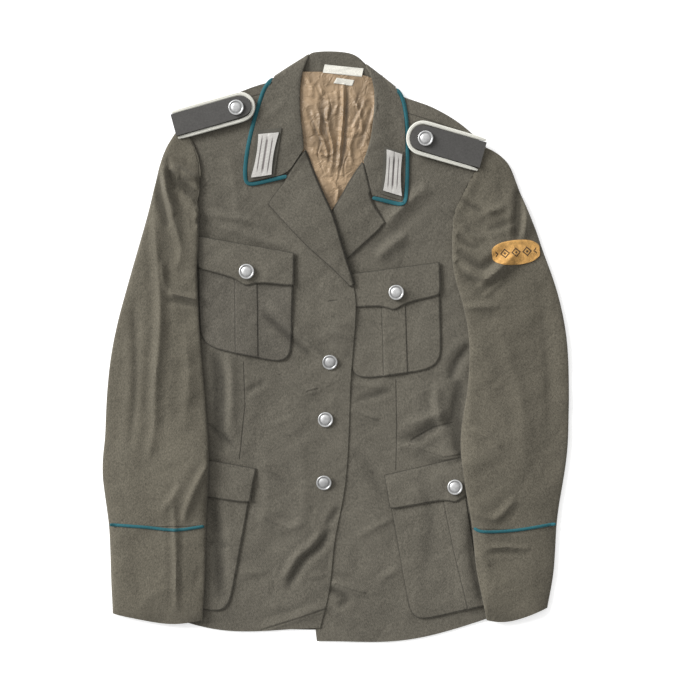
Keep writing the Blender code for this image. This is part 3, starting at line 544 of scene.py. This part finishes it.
crumple = noise(satin, given["Vector"], 75.0, 2.0, Distortion=1.2)
thread = noise(satin, given["Vector"], 900.0, 1.0)
tone = plus(satin, thread, 0.2, plus(satin, cloud, 1.5, 0.15))
give(satin, out, shaded(satin, given["Colour"], tone), plus(satin, crumple, 22.0, thread))


def plain_cloth(name, colour, roughness, bump_size, group, sheen=0.0, dark=0.0):
    """A material of one shader group over one colour, its folds darkened by a share as painted
    shade.
    """
    material, tree, place = start_finish(name)
    cloth = node(tree, "Group", node_tree=group)
    tree.links.new(place, cloth.inputs["Vector"])
    cloth.inputs["Colour"].default_value = (*colour, 1)
    shade = cloth.outputs["Colour"]
    # painted shade in the folds
    if dark:
        shade = shaded(tree, shade, plus(tree, kept(tree, "crease_depth_shade"), -dark, 1.0))
    end_finish(tree, shade, cloth.outputs["Height"], 0.6, bump_size, Roughness=roughness,
               Sheen_Weight=sheen)
    return material


lining = fine_copy("lining", "lining_satin", 3, 1.0 * MM)
spots = places(lining)
x, y = spots[:, 0], spots[:, 1]
spots[:, 2] += body_relief(x, y) + np.maximum(
    creases(x, y, LINING_FOLDS) + rumple(x, y, 8, 0.28, 10, 34) + 0.8 * MM, 0)
put(lining, spots)
keep(lining, "crease_depth_shade", painted_crease_shade(x, y, LINING_FOLDS))
settle(lining)
finish_piece(lining, "lining",
             plain_cloth("lining_satin", (0.335, 0.234, 0.140), 0.5, 0.25, satin, dark=0.5))


# Left front: wool on its canvas, with a waist dart; the right front buttons over it.
# The darts and seams are lines of pixels, pressed flat.
TURNED_RIM = 1.6 * MM        # width of the cut edge of a piece of two layers
PLEAT_RISE = 0.6 * MM
OWN_DEEPEST = -0.2 * MM      # a piece's own creases sink no deeper into it
GORGE_REACH = 9


def lay_wool(node_name, turn, own=(), rim=CLOTH, edge_shade=True, pleats=(), gorge=None,
             tint=(1, 1, 1), seams=(), wear_and_crease_shade=()):
    """A wool piece on the body: fine copy, body relief, its own creases, then laid."""
    piece = fine_copy(node_name, node_name + "_cloth", 3, rim)
    spots = places(piece)
    x, y = spots[:, 0], spots[:, 1]
    spots[:, 2] += body_relief(x, y) + np.maximum(creases(x, y, own), OWN_DEEPEST)
    if pleats:
        spots[:, 2] += pleat(x, y, *pleats)
    if gorge:
        draw_in(spots, *gorge, GORGE_REACH)
    put(piece, spots)
    keep(piece, "crease_depth_shade", painted_crease_shade(x, y, BODY_CREASES, own))
    settle(piece)
    if edge_shade:
        mark_edge(piece)
    finish_piece(piece, node_name,
                 wool(node_name + "_wool", turn, tint, [*pleats, *seams], edge_shade, wear_and_crease_shade))


def draw_in(spots, line, shift, reach):
    """Moves the cloth near a line of pixels by a shift in mm, fading over reach."""
    away, _, run = beside(spots[:, 0], spots[:, 1], [at(*p) for p in line])
    share = smooth(away, reach * MM, 0) * smooth(run, 1.0, 0.9)
    spots += np.outer(share, np.array(shift) * MM)


def pleat(x, y, left, right):
    """Height of the flat strip of a box pleat between two lines of pixels."""
    strip = np.ones(x.shape)
    for line, inward in ((left, -1), (right, 1)):
        away, side, run = beside(x, y, [at(*p) for p in line])
        strip *= smooth(away * side * inward, -0.5 * MM, 0.7 * MM)
    return PLEAT_RISE * strip


def mark_edge(piece):
    """Stores how far each point lies from the outline of its piece, seen from above."""
    shape = bmesh.new()
    shape.from_mesh(piece.data)
    rims = [e for e in shape.edges
            if len(e.link_faces) == 2 and e.calc_face_angle() > math.radians(45)]
    ends = np.array([[*e.verts[0].co[:2], *e.verts[1].co[:2]] for e in rims])
    shape.free()
    spots = places(piece)
    near = np.full(len(spots), 1e9)
    for ax, ay, bx, by in ends:
        dx, dy = bx - ax, by - ay
        t = np.clip(((spots[:, 0] - ax) * dx + (spots[:, 1] - ay) * dy)
                    / max(dx * dx + dy * dy, 1e-12), 0, 1)
        near = np.minimum(near, np.hypot(spots[:, 0] - ax - t * dx, spots[:, 1] - ay - t * dy))
    keep(piece, "edge", near)


# the last table lists crease lines that get painted shade
lay_wool("front_left", -4, edge_shade=False,
         seams=[((396, 380), (397, 425), (396, 470)), ((408, 114), (430, 121), (462, 132))],
         wear_and_crease_shade=[((410, 445), (424, 451), (443, 457.5), (460, 455)),
               ((412, 440), (433, 428), (452, 423)), ((352, 408), (366, 417), (378, 421)),
               ((336, 584), (357, 591.5), (366, 593.5)), ((443, 204), (456, 215))])


# Chest and hip pockets of the left side: patches with rounded corners and a box pleat,
# stitched round close to the edge, under flaps that come to a point at the button.
lay_wool("pocket_chest_left", -8,
         pleats=[((381.3, 296), (382.4, 330), (383.6, 376)),
                 ((405, 292), (406.3, 330), (407.6, 374))])
lay_wool("flap_chest_left", -8, rim=TURNED_RIM)
lay_wool("pocket_hip_left", 14,
         pleats=[((443, 500), (453.3, 550), (467.5, 608)), ((466, 500), (474, 550), (488, 606))])
lay_wool("flap_hip_left", 14, rim=TURNED_RIM)


# Lapels: the facings, turned over at the roll line and pressed.  The left one lies below
# the right front.  Each is drawn to the collar along the gorge seam.
PRESSED = (0.93, 0.93, 0.93)     # pressed wool is a little darker
lay_wool("lapel_left", 35, rim=TURNED_RIM, tint=PRESSED,
         gorge=([(363.5, 166), (366, 176), (368, 184), (370.5, 194)], (1.7, 0.4, 0.3)))


# Right front, which lies on top, and its pockets and lapel.  The short line near the top
# of its edge is a buttonhole without a button.
# the last table lists crease lines that get painted shade
lay_wool("front_right", 4, edge_shade=False,
         seams=[((244, 362), (245.6, 405), (240, 459)), ((261, 95), (240, 100), (212, 108)),
                ((328.5, 301.6), (336.5, 300.4))],
         wear_and_crease_shade=[((291, 327), (305, 340), (322, 353)), ((280, 375), (307, 392), (318, 389)),
               ((208, 424), (224, 436), (237, 448)), ((252, 508), (271, 522), (288, 529)),
               ((262, 630), (293, 620), (331, 607))])
lay_wool("lapel_right", -35, rim=TURNED_RIM, tint=PRESSED,
         gorge=([(304.5, 150), (298, 163), (288, 175), (284, 180)], (-1.3, 0.9, 1.6)))
lay_wool("pocket_chest_right", 10, tint=(0.92, 0.92, 0.94),
         pleats=[((235, 272), (235.6, 310), (236, 354)),
                 ((257.6, 276), (258.2, 310), (258.6, 356))])
lay_wool("flap_chest_right", 10, rim=TURNED_RIM)
lay_wool("pocket_hip_right", -9)
lay_wool("flap_hip_right", -9, rim=TURNED_RIM)


# Collar: stand and fall in one piece of wool, folded at the roll line and pressed, with
# teal piping sewn round the edge of the fall.
COLLAR_CREASES = [
    (1.2, 3.0, (320, 60), (321, 72)),
    (1.05, 6.0, (262, 120), (276, 112), (288, 100)),
    (1.05, 6.0, (392, 110), (402, 126), (404, 150)),
]
lay_wool("collar", 20, COLLAR_CREASES, edge_shade=False,
         tint=(0.94, 0.94, 0.94))

piping_weave, given, out = cloth_effect("piping_weave")
thread = noise(piping_weave, given["Vector"], 800.0, 2.0)
pull = node(piping_weave, "TexWave", {"Vector": given["Vector"], "Scale": 150.0,
                                      "Distortion": 2.0}, bands_direction="DIAGONAL")
tone = plus(piping_weave, thread, 0.7, 0.6)
give(piping_weave, out, shaded(piping_weave, given["Colour"], tone),
     plus(piping_weave, pull.outputs[1], 0.6, thread))
TEAL = (0.006, 0.105, 0.128)


def lay_trim(node_name, material, level=2, rim=0.0, own=(), swell=0.0, shape=None,
             reach=1.6 * MM, hinge=None):
    """A small piece on the cloth: fine copy, lifted with the cloth below it, then laid."""
    piece = fine_copy(node_name, node_name + "_trim", level, rim)
    spots = places(piece)
    if swell:
        normals = np.zeros(spots.size)
        piece.data.vertices.foreach_get("normal", normals)
        spots += normals.reshape(-1, 3) * (swell * MM, swell * MM, 0.4 * swell * MM)
    if shape is not None:
        spots = shape(spots)
    if hinge is None:
        spots[:, 2] += body_relief(spots[:, 0], spots[:, 1])
        spots[:, 2] += np.maximum(creases(spots[:, 0], spots[:, 1], own), 0)
    put(piece, spots)
    settle(piece, reach=reach, hinge=hinge)
    finish_piece(piece, node_name, material, 60)
    return piece


lay_trim("collar_piping",
         plain_cloth("collar_piping_teal", TEAL, 0.8, 0.3, piping_weave, 0.15), swell=1.3)


# Collar tabs: a felt backing with two pale braid bars, woven side by side on one plate
# with a dark line down each bar and a wider one between them.
felt, given, out = cloth_effect("felt")
fibre = noise(felt, given["Vector"], 480.0, 4.0, Roughness=0.7)
blot = noise(felt, given["Vector"], 60.0, 2.0)
tone = plus(felt, blot, 0.3, plus(felt, fibre, 0.9, 0.4))
give(felt, out, shaded(felt, given["Colour"], tone), fibre)

BRAID_PALE, BRAID_DARK = (0.60, 0.58, 0.545), (0.155, 0.135, 0.130, 1)
BRAID_LINES = (              # place across the plate and half width, in shares of it
    (0.0, 0.10), (-0.5, 0.055), (0.5, 0.055),
)
WAIST, WAIST_REACH = 0.17, 28 * MM   # how much narrower a plate is at its middle


def on_plate(tree, place, middle, turn, size):
    """A place seen from the middle of a turned plate, in shares of a size."""
    away = vector_math(tree, "SUBTRACT", place, (*at(*middle), 0))[0]
    plate = node(tree, "Mapping", {"Vector": away,
                                   "Rotation": (0, 0, math.radians(turn)),
                                   "Scale": (1 / size, 1 / size, 1 / size)}).outputs[0]
    return plate, *node(tree, "SeparateXYZ", {0: plate}).outputs[:2]


def braid(name, middle, half_width, turn):
    """Pale braid ribbed across, with dark lines along it."""
    material, tree, place = start_finish(name)
    plate, across, along = on_plate(tree, place, middle, turn, half_width)
    mask = 0.0
    for line, half in BRAID_LINES:
        off = math_of(tree, "ABSOLUTE", math_of(tree, "SUBTRACT", across, line))
        mask = math_of(tree, "MAXIMUM", mask, fall(tree, off, half * 0.5, half * 1.5))
    short = fall(tree, math_of(tree, "ABSOLUTE", along), 1.35, 1.9)
    mask = math_of(tree, "MULTIPLY", mask, short)
    ribs = math_of(tree, "SINE", math_of(tree, "MULTIPLY", along, 46.0))
    pale = shaded(tree, BRAID_PALE, plus(tree, noise(tree, plate, 9.0, 3.0), 0.5, 0.72))
    colour = node(tree, "Mix", {0: mask, 6: pale, 7: BRAID_DARK}, data_type="RGBA")
    end_finish(tree, colour.outputs[2], plus(tree, mask, -3.0, ribs), 0.6, 0.15, Roughness=0.55)
    return material


TAB_PLATES = {               # middle, half width of the plate, turn in degrees, flat sizes
    "right": ((265.4, 155.7), 12.9 * MM, 9.0, (0.031, 0.064), (0.024, 0.055)),
    "left": ((393.2, 173.4), 11.2 * MM, 3.4, (0.026, 0.062), (0.021, 0.055)),
}
for side, (middle, half, turn, felt_flat, braid_flat) in TAB_PLATES.items():
    tab = lay_trim("collar_tab_" + side,
                   plain_cloth("tab_felt_" + side, (0.092, 0.086, 0.069), 0.95, 0.3, felt, 0.2),
                   3, 1.0 * MM)

    def waist(spots):
        """Draws the plate in a little at its middle."""
        away = spots[:, :2] - at(*middle)
        on = np.array((math.sin(math.radians(turn)), math.cos(math.radians(turn))))
        over = np.array((on[1], -on[0]))
        share = np.clip(1 - (away @ on / WAIST_REACH) ** 2, 0, 1)
        spots[:, :2] -= np.outer(WAIST * share * (away @ over), over)
        return spots

    plate = lay_trim("tab_braid_" + side,
                     braid("tab_braid_" + side, middle, half, turn), 3, 1.0 * MM, shape=waist)


# Neck labels: two short lengths of plain white woven tape, sewn by hand at their ends to
# the inside of the collar stand and to the lining below it.
for name, flat, area in (("label_upper", (0.051, 0.012), None),
                         ("label_lower", (0.025, 0.010), 0.00018)):
    label = lay_trim(name,
                     plain_cloth(name + "_white", (0.80, 0.78, 0.70), 0.75, 0.2, piping_weave),
                     3, 0.6 * MM, own=[(0.75, 3.0, (322, 66), (335, 70), (350, 68))])


# Sleeves: tubes of wool pressed flat, laid over the sides of the body.  Their creases run
# from the armhole, across the elbow and up from the cuff; the lower wall lies smooth.
ARMHOLES = {                 # seam of the sleeve cap in pixels, and the way to the body
    "right": ([(186, 132), (193.5, 150), (197.5, 163), (199.5, 190), (199, 205), (198, 224)], 1),
    "left": ([(488, 140), (485.7, 145), (475, 173), (463.5, 195), (455, 213), (449.5, 230)], -1),
}
SLEEVE_CREASES = [
    (-6.3, 3.6, (178, 178), (188, 189), (198, 196)),
    (5.1, 4.5, (170, 167), (184, 172), (198, 183)),
    (3.6, 5.0, (163, 166), (167, 190), (176, 216)),
    (-3.0, 4.0, (158, 176), (161, 202), (169, 228)),
    (2.4, 3.5, (188, 206), (196, 214), (199, 232)),
    (-3.9, 5.0, (186, 190), (194, 198), (198, 206)),
    (-3.0, 4.0, (166, 160), (172, 175), (176, 190)),
    (-3.9, 4.5, (461, 199), (474, 207), (486, 213)),
    (-4.2, 5.5, (455, 262), (466, 276), (480, 284)),
    (2.1, 3.5, (459, 226), (470, 236), (484, 240)),
    (-2.4, 3.5, (456, 236), (468, 246), (480, 249)),
    (3.0, 5.5, (462, 201), (476, 206), (489, 212), (507, 207)),
    (-2.4, 4.5, (487, 230), (501, 226), (516, 221)),
    (5.1, 7.0, (451, 259), (466, 272), (482, 280), (491, 276), (518, 252)),
    (-2.7, 6.0, (456, 253), (472, 264), (486, 266), (508, 248)),
    (1.5, 3.0, (482, 298), (503, 280)),
    (-4.2, 5.0, (517.5, 188), (517, 217), (515.5, 240)),
    (3.0, 5.0, (526, 212), (525, 224), (522, 240)),
    (2.4, 5.0, (462, 309), (480, 307), (498, 308)),
    (2.25, 4.5, (471, 428), (487, 437), (500, 447)),
    (2.4, 5.0, (474, 511), (490, 518), (500, 514), (515, 498)),
    (1.95, 3.6, (485, 547), (505, 546), (529, 548)),
    (-1.05, 3.5, (486, 552), (506, 551), (528, 553)),
    (1.95, 4.0, (473, 552), (489, 565)),
    (1.05, 9.0, (500, 330), (520, 400), (524, 470)),
    (-0.75, 8.0, (540, 300), (548, 380), (545, 450)),
    (3.3, 6.0, (154, 206), (157, 244), (161, 302), (160, 340), (156, 388), (155, 430),
     (148, 462)),
    (2.7, 6.0, (162, 166), (172, 212), (182, 250), (177, 271)),
    (1.8, 4.0, (163, 263), (166, 285), (176, 296)),
    (-3.6, 5.0, (176, 184), (189.5, 193), (197, 195)),
    (2.7, 5.0, (164, 164), (180, 175), (199, 180)),
    (3.0, 4.0, (170, 294), (186, 297), (201, 300)),
    (-1.95, 3.5, (168, 300), (186, 303), (201, 307)),
    (2.7, 5.0, (211, 461), (200, 479), (190, 502), (183, 523)),
    (1.8, 4.5, (182, 482), (172, 499), (163, 508)),
    (2.25, 4.0, (174.5, 502), (176, 528), (177, 574), (177, 610)),
    (-1.65, 5.0, (134, 300), (136, 380), (130, 450)),
    (1.8, 8.0, (186, 330), (190, 380), (184, 430)),
]


ARMHOLE_PULL, ARMHOLE_RISE, ARMHOLE_REACH = 2.7, 2.2, 14     # mm, closes the armhole seam
SLEEVE_DEPTH = 1.3           # the creases of the loose sleeves are this many times as high
SLEEVE_LIFT = 1.9 * MM
CUFF_END = 12 * MM           # the sleeve comes down to the table over this length


def lay_sleeve(side, turn, seams):
    """A sleeve: its upper wall raised and creased, and set against the armhole."""
    sleeve = fine_copy("sleeve_" + side, "sleeve_" + side + "_cloth", 3, CLOTH)
    spots = places(sleeve)
    x, y = spots[:, 0].copy(), spots[:, 1].copy()
    own = tree_of(sleeve)
    upper = np.zeros(len(spots))
    for k, (px, py, pz) in enumerate(spots):
        top = own.ray_cast(Vector((px, py, 0.1)), DOWN)[0]
        low = own.ray_cast(Vector((px, py, -0.1)), UP)[0]
        if top is None or low is None or top.z - low.z < 0.1 * MM:
            upper[k] = 0.5
        else:
            upper[k] = (pz - low.z) / (top.z - low.z)
    upper = smooth(upper, 0.25, 0.75)
    line, way = ARMHOLES[side]
    away = beside(x, y, [at(*p) for p in line])[0]
    draw_in(spots, line, (way * ARMHOLE_PULL, 0, ARMHOLE_RISE), ARMHOLE_REACH)
    lift = SLEEVE_DEPTH * creases(x, y, SLEEVE_CREASES) + rumple(x, y, 11, 0.30, 24, 90)
    lift = above(lift + SLEEVE_LIFT) * (1 - 0.6 * smooth(away, 5 * MM, 0))
    lift *= smooth(y, spots[:, 1].min(), spots[:, 1].min() + CUFF_END) * 0.7 + 0.3
    spots[:, 2] += body_relief(x, y) + upper * lift
    put(sleeve, spots)
    keep(sleeve, "crease_depth_shade", upper * painted_crease_shade(x, y, SLEEVE_CREASES))
    settle(sleeve)
    finish_piece(sleeve, "sleeve_" + side,
                 wool("sleeve_" + side + "_wool", turn, (1.0, 0.985, 0.94),
                      seams + [[(u + way * 1.6, v) for u, v in line]]))


# the sleeves lie over the flap buttons, which are set on the cloth later
for place in ("chest_right", "chest_left", "hip_right", "hip_left"):
    under.append((tree_of(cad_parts["button_" + place]),
                  *(np.array(corner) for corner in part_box("button_" + place))))
lay_sleeve("right", 14, [((118, 524.5), (160, 526), (204, 525))])
lay_sleeve("left", -14, [((472, 528), (520, 529), (556, 524))])


# Cuff piping: the same teal cord as on the collar, sewn across each sleeve a hand's
# breadth from its end.  Only the half on the upper wall is made.
for side in ("right", "left"):
    lay_trim("cuff_piping_" + side,
             plain_cloth("cuff_piping_teal_" + side, TEAL, 0.8, 0.3, piping_weave, 0.15),
             swell=0.8, reach=8 * MM)


# Shoulder boards: dark grey felt over a stiff core, edged on both long sides and round the
# tip with a doubled pale cord.  They button down near the collar and bridge the cloth.
CORD_TURN = 1.7 * MM         # length of one twist of a strand


def board_cord(name):
    """Pale twisted cord: two strands side by side, seen in the height of the cord, with painted
    shade in the groove between them and painted light and shade along the twist.
    """
    material, tree, place = start_finish(name)
    across, run = kept(tree, "across"), kept(tree, "run")
    lean = math_of(tree, "ABSOLUTE", math_of(tree, "MULTIPLY", across, 0.9))
    turn = math_of(tree, "MULTIPLY", math_of(tree, "ADD", run, lean), 2 * math.pi / CORD_TURN)
    twist = math_of(tree, "SINE", turn)
    groove = fall(tree, math_of(tree, "ABSOLUTE", across), 0.0, 0.7 * MM,
                  interpolation_type="SMOOTHSTEP")
    # painted shade in the groove between the strands
    tone = plus(tree, groove, -0.12, plus(tree, noise(tree, place, 45.0, 4.0), 0.25, 0.87))
    # painted light and shade along the twist of the strands
    tone = plus(tree, twist, 0.025, tone)
    end_finish(tree, shaded(tree, (0.80, 0.79, 0.71), tone), plus(tree, groove, -3.0, twist),
               0.5, 0.3, Roughness=0.8)
    return material


BOARDS = {                   # tip of the felt, middle of its end, half its width, in mm
    "right": ((-105.0, 301.4), (-201.5, 274.9), 13.8),
    "left": ((93.5, 263.4), (183.5, 237.9), 16.4),
}
ROUND_END, CORD_OFFSET = 14.0, 2.8   # mm, the round tip, and the cord's place outside it
for side, (tip, end, half) in BOARDS.items():
    tip, end = np.array(tip), np.array(end)
    hinge = (tip * MM, end * MM)
    lay_trim("shoulder_board_" + side,
             plain_cloth("board_felt_" + side, (0.082, 0.079, 0.075), 0.95, 0.4, felt, 0.1),
             3, 3.2 * MM, reach=8 * MM, hinge=hinge)
    on = (end - tip) / np.linalg.norm(end - tip)
    over = np.array((-on[1], on[0]))
    reach = half + CORD_OFFSET
    line = [end + over * reach]
    line += [tip + on * (ROUND_END - (ROUND_END + CORD_OFFSET) * math.cos(t))
             + over * reach * math.sin(t) for t in np.linspace(math.pi / 2, -math.pi / 2, 15)]
    line += [end - over * reach]
    line = np.array(line) * MM
    cord = lay_trim("board_cord_" + side, board_cord("board_cord_" + side),
                    swell=0.55, reach=8 * MM, hinge=hinge)
    spots = places(cord)
    away, sign, run = beside(spots[:, 0], spots[:, 1], line)
    whole = np.linalg.norm(np.diff(line, axis=0), axis=1).sum()
    keep(cord, "across", away * sign)
    keep(cord, "run", run * whole)


# Buttons: pressed aluminium caps with a raised rim and a low plain dome, each on a shank.
# One is modelled, and the others are copies of it, set on the cloth where they are sewn.
CAP_RADIUS, CAP_DEEP, CAP_MIDDLE = 9.5 * MM, 1.4 * MM, 2.0 * MM
SHANK_RADIUS, SHANK_HIGH = 4.3 * MM, 1.5 * MM
GROOVE = 6.8 * MM            # radius of the groove inside the rim
EDGE_ROUND = 0.25 * MM


def metal(name):
    """Dull aluminium, with wear in spots, and painted shade in the groove inside the rim."""
    material, tree, place = start_finish(name)
    dull = noise(tree, place, 260.0, 4.0)
    # painted shade: darker in a ring round the groove inside the rim
    ring = math_of(tree, "ABSOLUTE", math_of(tree, "SUBTRACT", kept(tree, "ring"), GROOVE))
    ring = node(tree, "MapRange", {"Value": ring, "From Min": 0.4 * MM, "From Max": 1.3 * MM,
                                   "To Min": 0.6, "To Max": 1.0})
    tone = math_of(tree, "MULTIPLY", plus(tree, dull, 0.6, 0.65), ring.outputs[0])
    end_finish(tree, shaded(tree, (0.74, 0.74, 0.735), tone), noise(tree, place, 1500.0, 2.0),
               0.3, 0.1, Metallic=0.85)
    tree.links.new(plus(tree, dull, 0.3, 0.25), tree.nodes["Principled BSDF"].inputs["Roughness"])
    return material


def press(top, *steps):
    """Picks the round top face of the button and insets it, with a depth each time."""
    bpy.context.tool_settings.mesh_select_mode = (False, False, True)
    top.data.polygons.foreach_set("select", [False] * len(top.data.polygons))
    face = max(top.data.polygons, key=lambda f: (f.center.z > 0, f.normal.z, len(f.vertices)))
    face.select = True
    bpy.ops.object.mode_set(mode="EDIT")
    for thickness, depth in steps:
        bpy.ops.mesh.inset(thickness=thickness * MM, depth=depth * MM)
    bpy.ops.object.mode_set(mode="OBJECT")


bpy.ops.mesh.primitive_cylinder_add(vertices=40, radius=CAP_RADIUS, depth=CAP_DEEP,
                                    location=(0, 0, CAP_MIDDLE), end_fill_type="NGON")
first = bpy.context.object
bpy.ops.object.transform_apply(location=True)
press(first, (0.4, 0.4), (1.2, 0.05), (0.6, -0.8), (0.8, 0.0), (0.9, 0.6), (1.5, 0.5),
      (2.0, 0.3), (1.2, 0.05))
bpy.ops.mesh.primitive_cylinder_add(vertices=24, radius=SHANK_RADIUS, depth=SHANK_HIGH,
                                    location=(0, 0, SHANK_HIGH / 2), end_fill_type="NGON")
shank = bpy.context.object
bpy.ops.object.transform_apply(location=True)
bpy.ops.object.select_all(action="DESELECT")
shank.select_set(True)
first.select_set(True)
bpy.context.view_layer.objects.active = first
bpy.ops.object.join()
softer = first.modifiers.new("softer", "BEVEL")
softer.width, softer.segments, softer.angle_limit = EDGE_ROUND, 2, 0.6
bpy.ops.object.modifier_apply(modifier="softer")
first.name = "button_pattern"
spots = places(first)
# radius of each point, for the painted shade in the groove
keep(first, "ring", np.hypot(spots[:, 0], spots[:, 1]))
LEAN = {"front_upper": 15, "front_middle": 6, "front_lower": 15}     # degrees
for place in ("front_upper", "front_middle", "front_lower", "chest_right", "chest_left",
              "hip_right", "hip_left", "shoulder_right", "shoulder_left"):
    low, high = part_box("button_" + place)
    button = bpy.data.objects.new("button_" + place + "_cap", first.data.copy())
    bpy.context.scene.collection.objects.link(button)
    spots = places(button)
    lean = math.radians(LEAN.get(place, 0))
    y, z = spots[:, 1].copy(), spots[:, 2].copy()
    spots[:, 1] = y * math.cos(lean) - z * math.sin(lean)
    spots[:, 2] = y * math.sin(lean) + z * math.cos(lean)
    spots += np.array(((low.x + high.x) / 2, (low.y + high.y) / 2, low.z))
    if place == "hip_right":     # the sleeve lies over it, so it is lifted by the cloth alone
        spots[:, 2] += body_relief(spots[:1, 0], spots[:1, 1])[0]
    put(button, spots)
    if place != "hip_right":
        settle(button, rigid=True, reach=8 * MM)
    finish_piece(button, "button_" + place, metal("aluminium_" + place), 30)
bpy.data.objects.remove(first)


# Arm patch: an oval of ochre cloth with a plain worked border and a row of dark lozenges,
# sewn to the left sleeve by hand.
LOZENGE_STEP, LOZENGE_HALF = 7.0, 5.2    # mm
BORDER = 4.0 * MM


def patch_finish(name, middle, turn):
    """Ochre thread with dark lozenges inside a plain border; lengths on it are in mm."""
    material, tree, place = start_finish(name)
    plate, x, y = on_plate(tree, place, middle, turn, MM)
    cell = math_of(tree, "PINGPONG", x, LOZENGE_STEP)
    rhomb = math_of(tree, "ADD", cell, math_of(tree, "ABSOLUTE", y))
    ring = math_of(tree, "ABSOLUTE", math_of(tree, "SUBTRACT", rhomb, LOZENGE_HALF))
    mark = math_of(tree, "MAXIMUM", fall(tree, ring, 0.7, 1.3), fall(tree, rhomb, 1.5, 2.2))
    inside = node(tree, "MapRange", {"Value": kept(tree, "edge"), "From Min": BORDER - 0.4 * MM,
                                     "From Max": BORDER + 0.4 * MM})
    threads, wear_and_crease_shade = noise(tree, plate, 0.9, 3.0), noise(tree, plate, 0.16, 4.0)
    broken = node(tree, "MapRange", {"Value": threads, "From Min": 0.3, "From Max": 0.44})
    mark = math_of(tree, "MULTIPLY", mark, inside.outputs[0])
    mark = math_of(tree, "MULTIPLY", mark, broken.outputs[0])
    tone = plus(tree, threads, 0.9, plus(tree, wear_and_crease_shade, 1.4, -0.15))
    colour = node(tree, "Mix", {0: mark, 6: shaded(tree, (0.62, 0.345, 0.105), tone),
                                7: (0.075, 0.045, 0.025, 1)}, data_type="RGBA")
    end_finish(tree, colour.outputs[2], plus(tree, mark, 0.8, threads), 0.8, 0.9, Roughness=0.85)
    return material


patch = fine_copy("arm_patch", "arm_patch_cloth", 3, CLOTH)
spots = places(patch)
spots[:, 2] += rumple(spots[:, 0], spots[:, 1], 4, 0.2, 12, 30)
put(patch, spots)
settle(patch, reach=8 * MM)
mark_edge(patch)
finish_piece(patch, "arm_patch",
             patch_finish("arm_patch_ochre", (515.2, 252.8), -6))


# Floor, light and camera: a pale table top, soft light from above and from the left, and
# the camera straight above the jacket, as in the photograph.
bpy.ops.mesh.primitive_plane_add(size=8, location=(0, 0, -0.0002))
floor = bpy.context.object
floor.name = "floor"
paper = bpy.data.materials.new("floor_paper")
paper.use_nodes = True
for socket, value in (("Base Color", (0.95, 0.95, 0.95, 1)), ("Roughness", 0.9),
                      ("Emission Color", (1, 1, 1, 1)), ("Emission Strength", 0.45)):
    paper.node_tree.nodes["Principled BSDF"].inputs[socket].default_value = value
floor.data.materials.append(paper)

world = bpy.data.worlds.new("room")
world.use_nodes = True
sky = world.node_tree
bright = vector_math(sky, "DOT_PRODUCT", node(sky, "TexCoord").outputs["Generated"],
                     (-0.5, 0.5, 0.707))["Value"]
bright = node(sky, "MapRange", {"Value": bright, "From Min": -0.7, "From Max": 1.0,
                                "To Min": 0.05, "To Max": 0.8})
sky.nodes["Background"].inputs[0].default_value = (1.0, 1.0, 1.0, 1)
sky.links.new(bright.outputs[0], sky.nodes["Background"].inputs[1])
bpy.context.scene.world = world

light = bpy.data.lights.new("window", "SUN")
light.energy, light.angle = 3.5, math.radians(28)
window = bpy.data.objects.new("window", light)
window.rotation_euler = Vector((1.85, -1.1, -1.05)).to_track_quat("-Z", "Y").to_euler()
bpy.context.scene.collection.objects.link(window)

LENS, SENSOR, FIELD = 100.0, 36.0, 0.875     # mm, mm, and the picture's width in metres
shot = bpy.data.cameras.new("shot")
shot.lens, shot.sensor_width = LENS, SENSOR
camera = bpy.data.objects.new("shot", shot)
camera.location = (*at(350, 350), FIELD * LENS / SENSOR)
bpy.context.scene.collection.objects.link(camera)
bpy.context.scene.camera = camera
bpy.context.scene.view_settings.view_transform = "Standard"

bpy.context.view_layer.update()
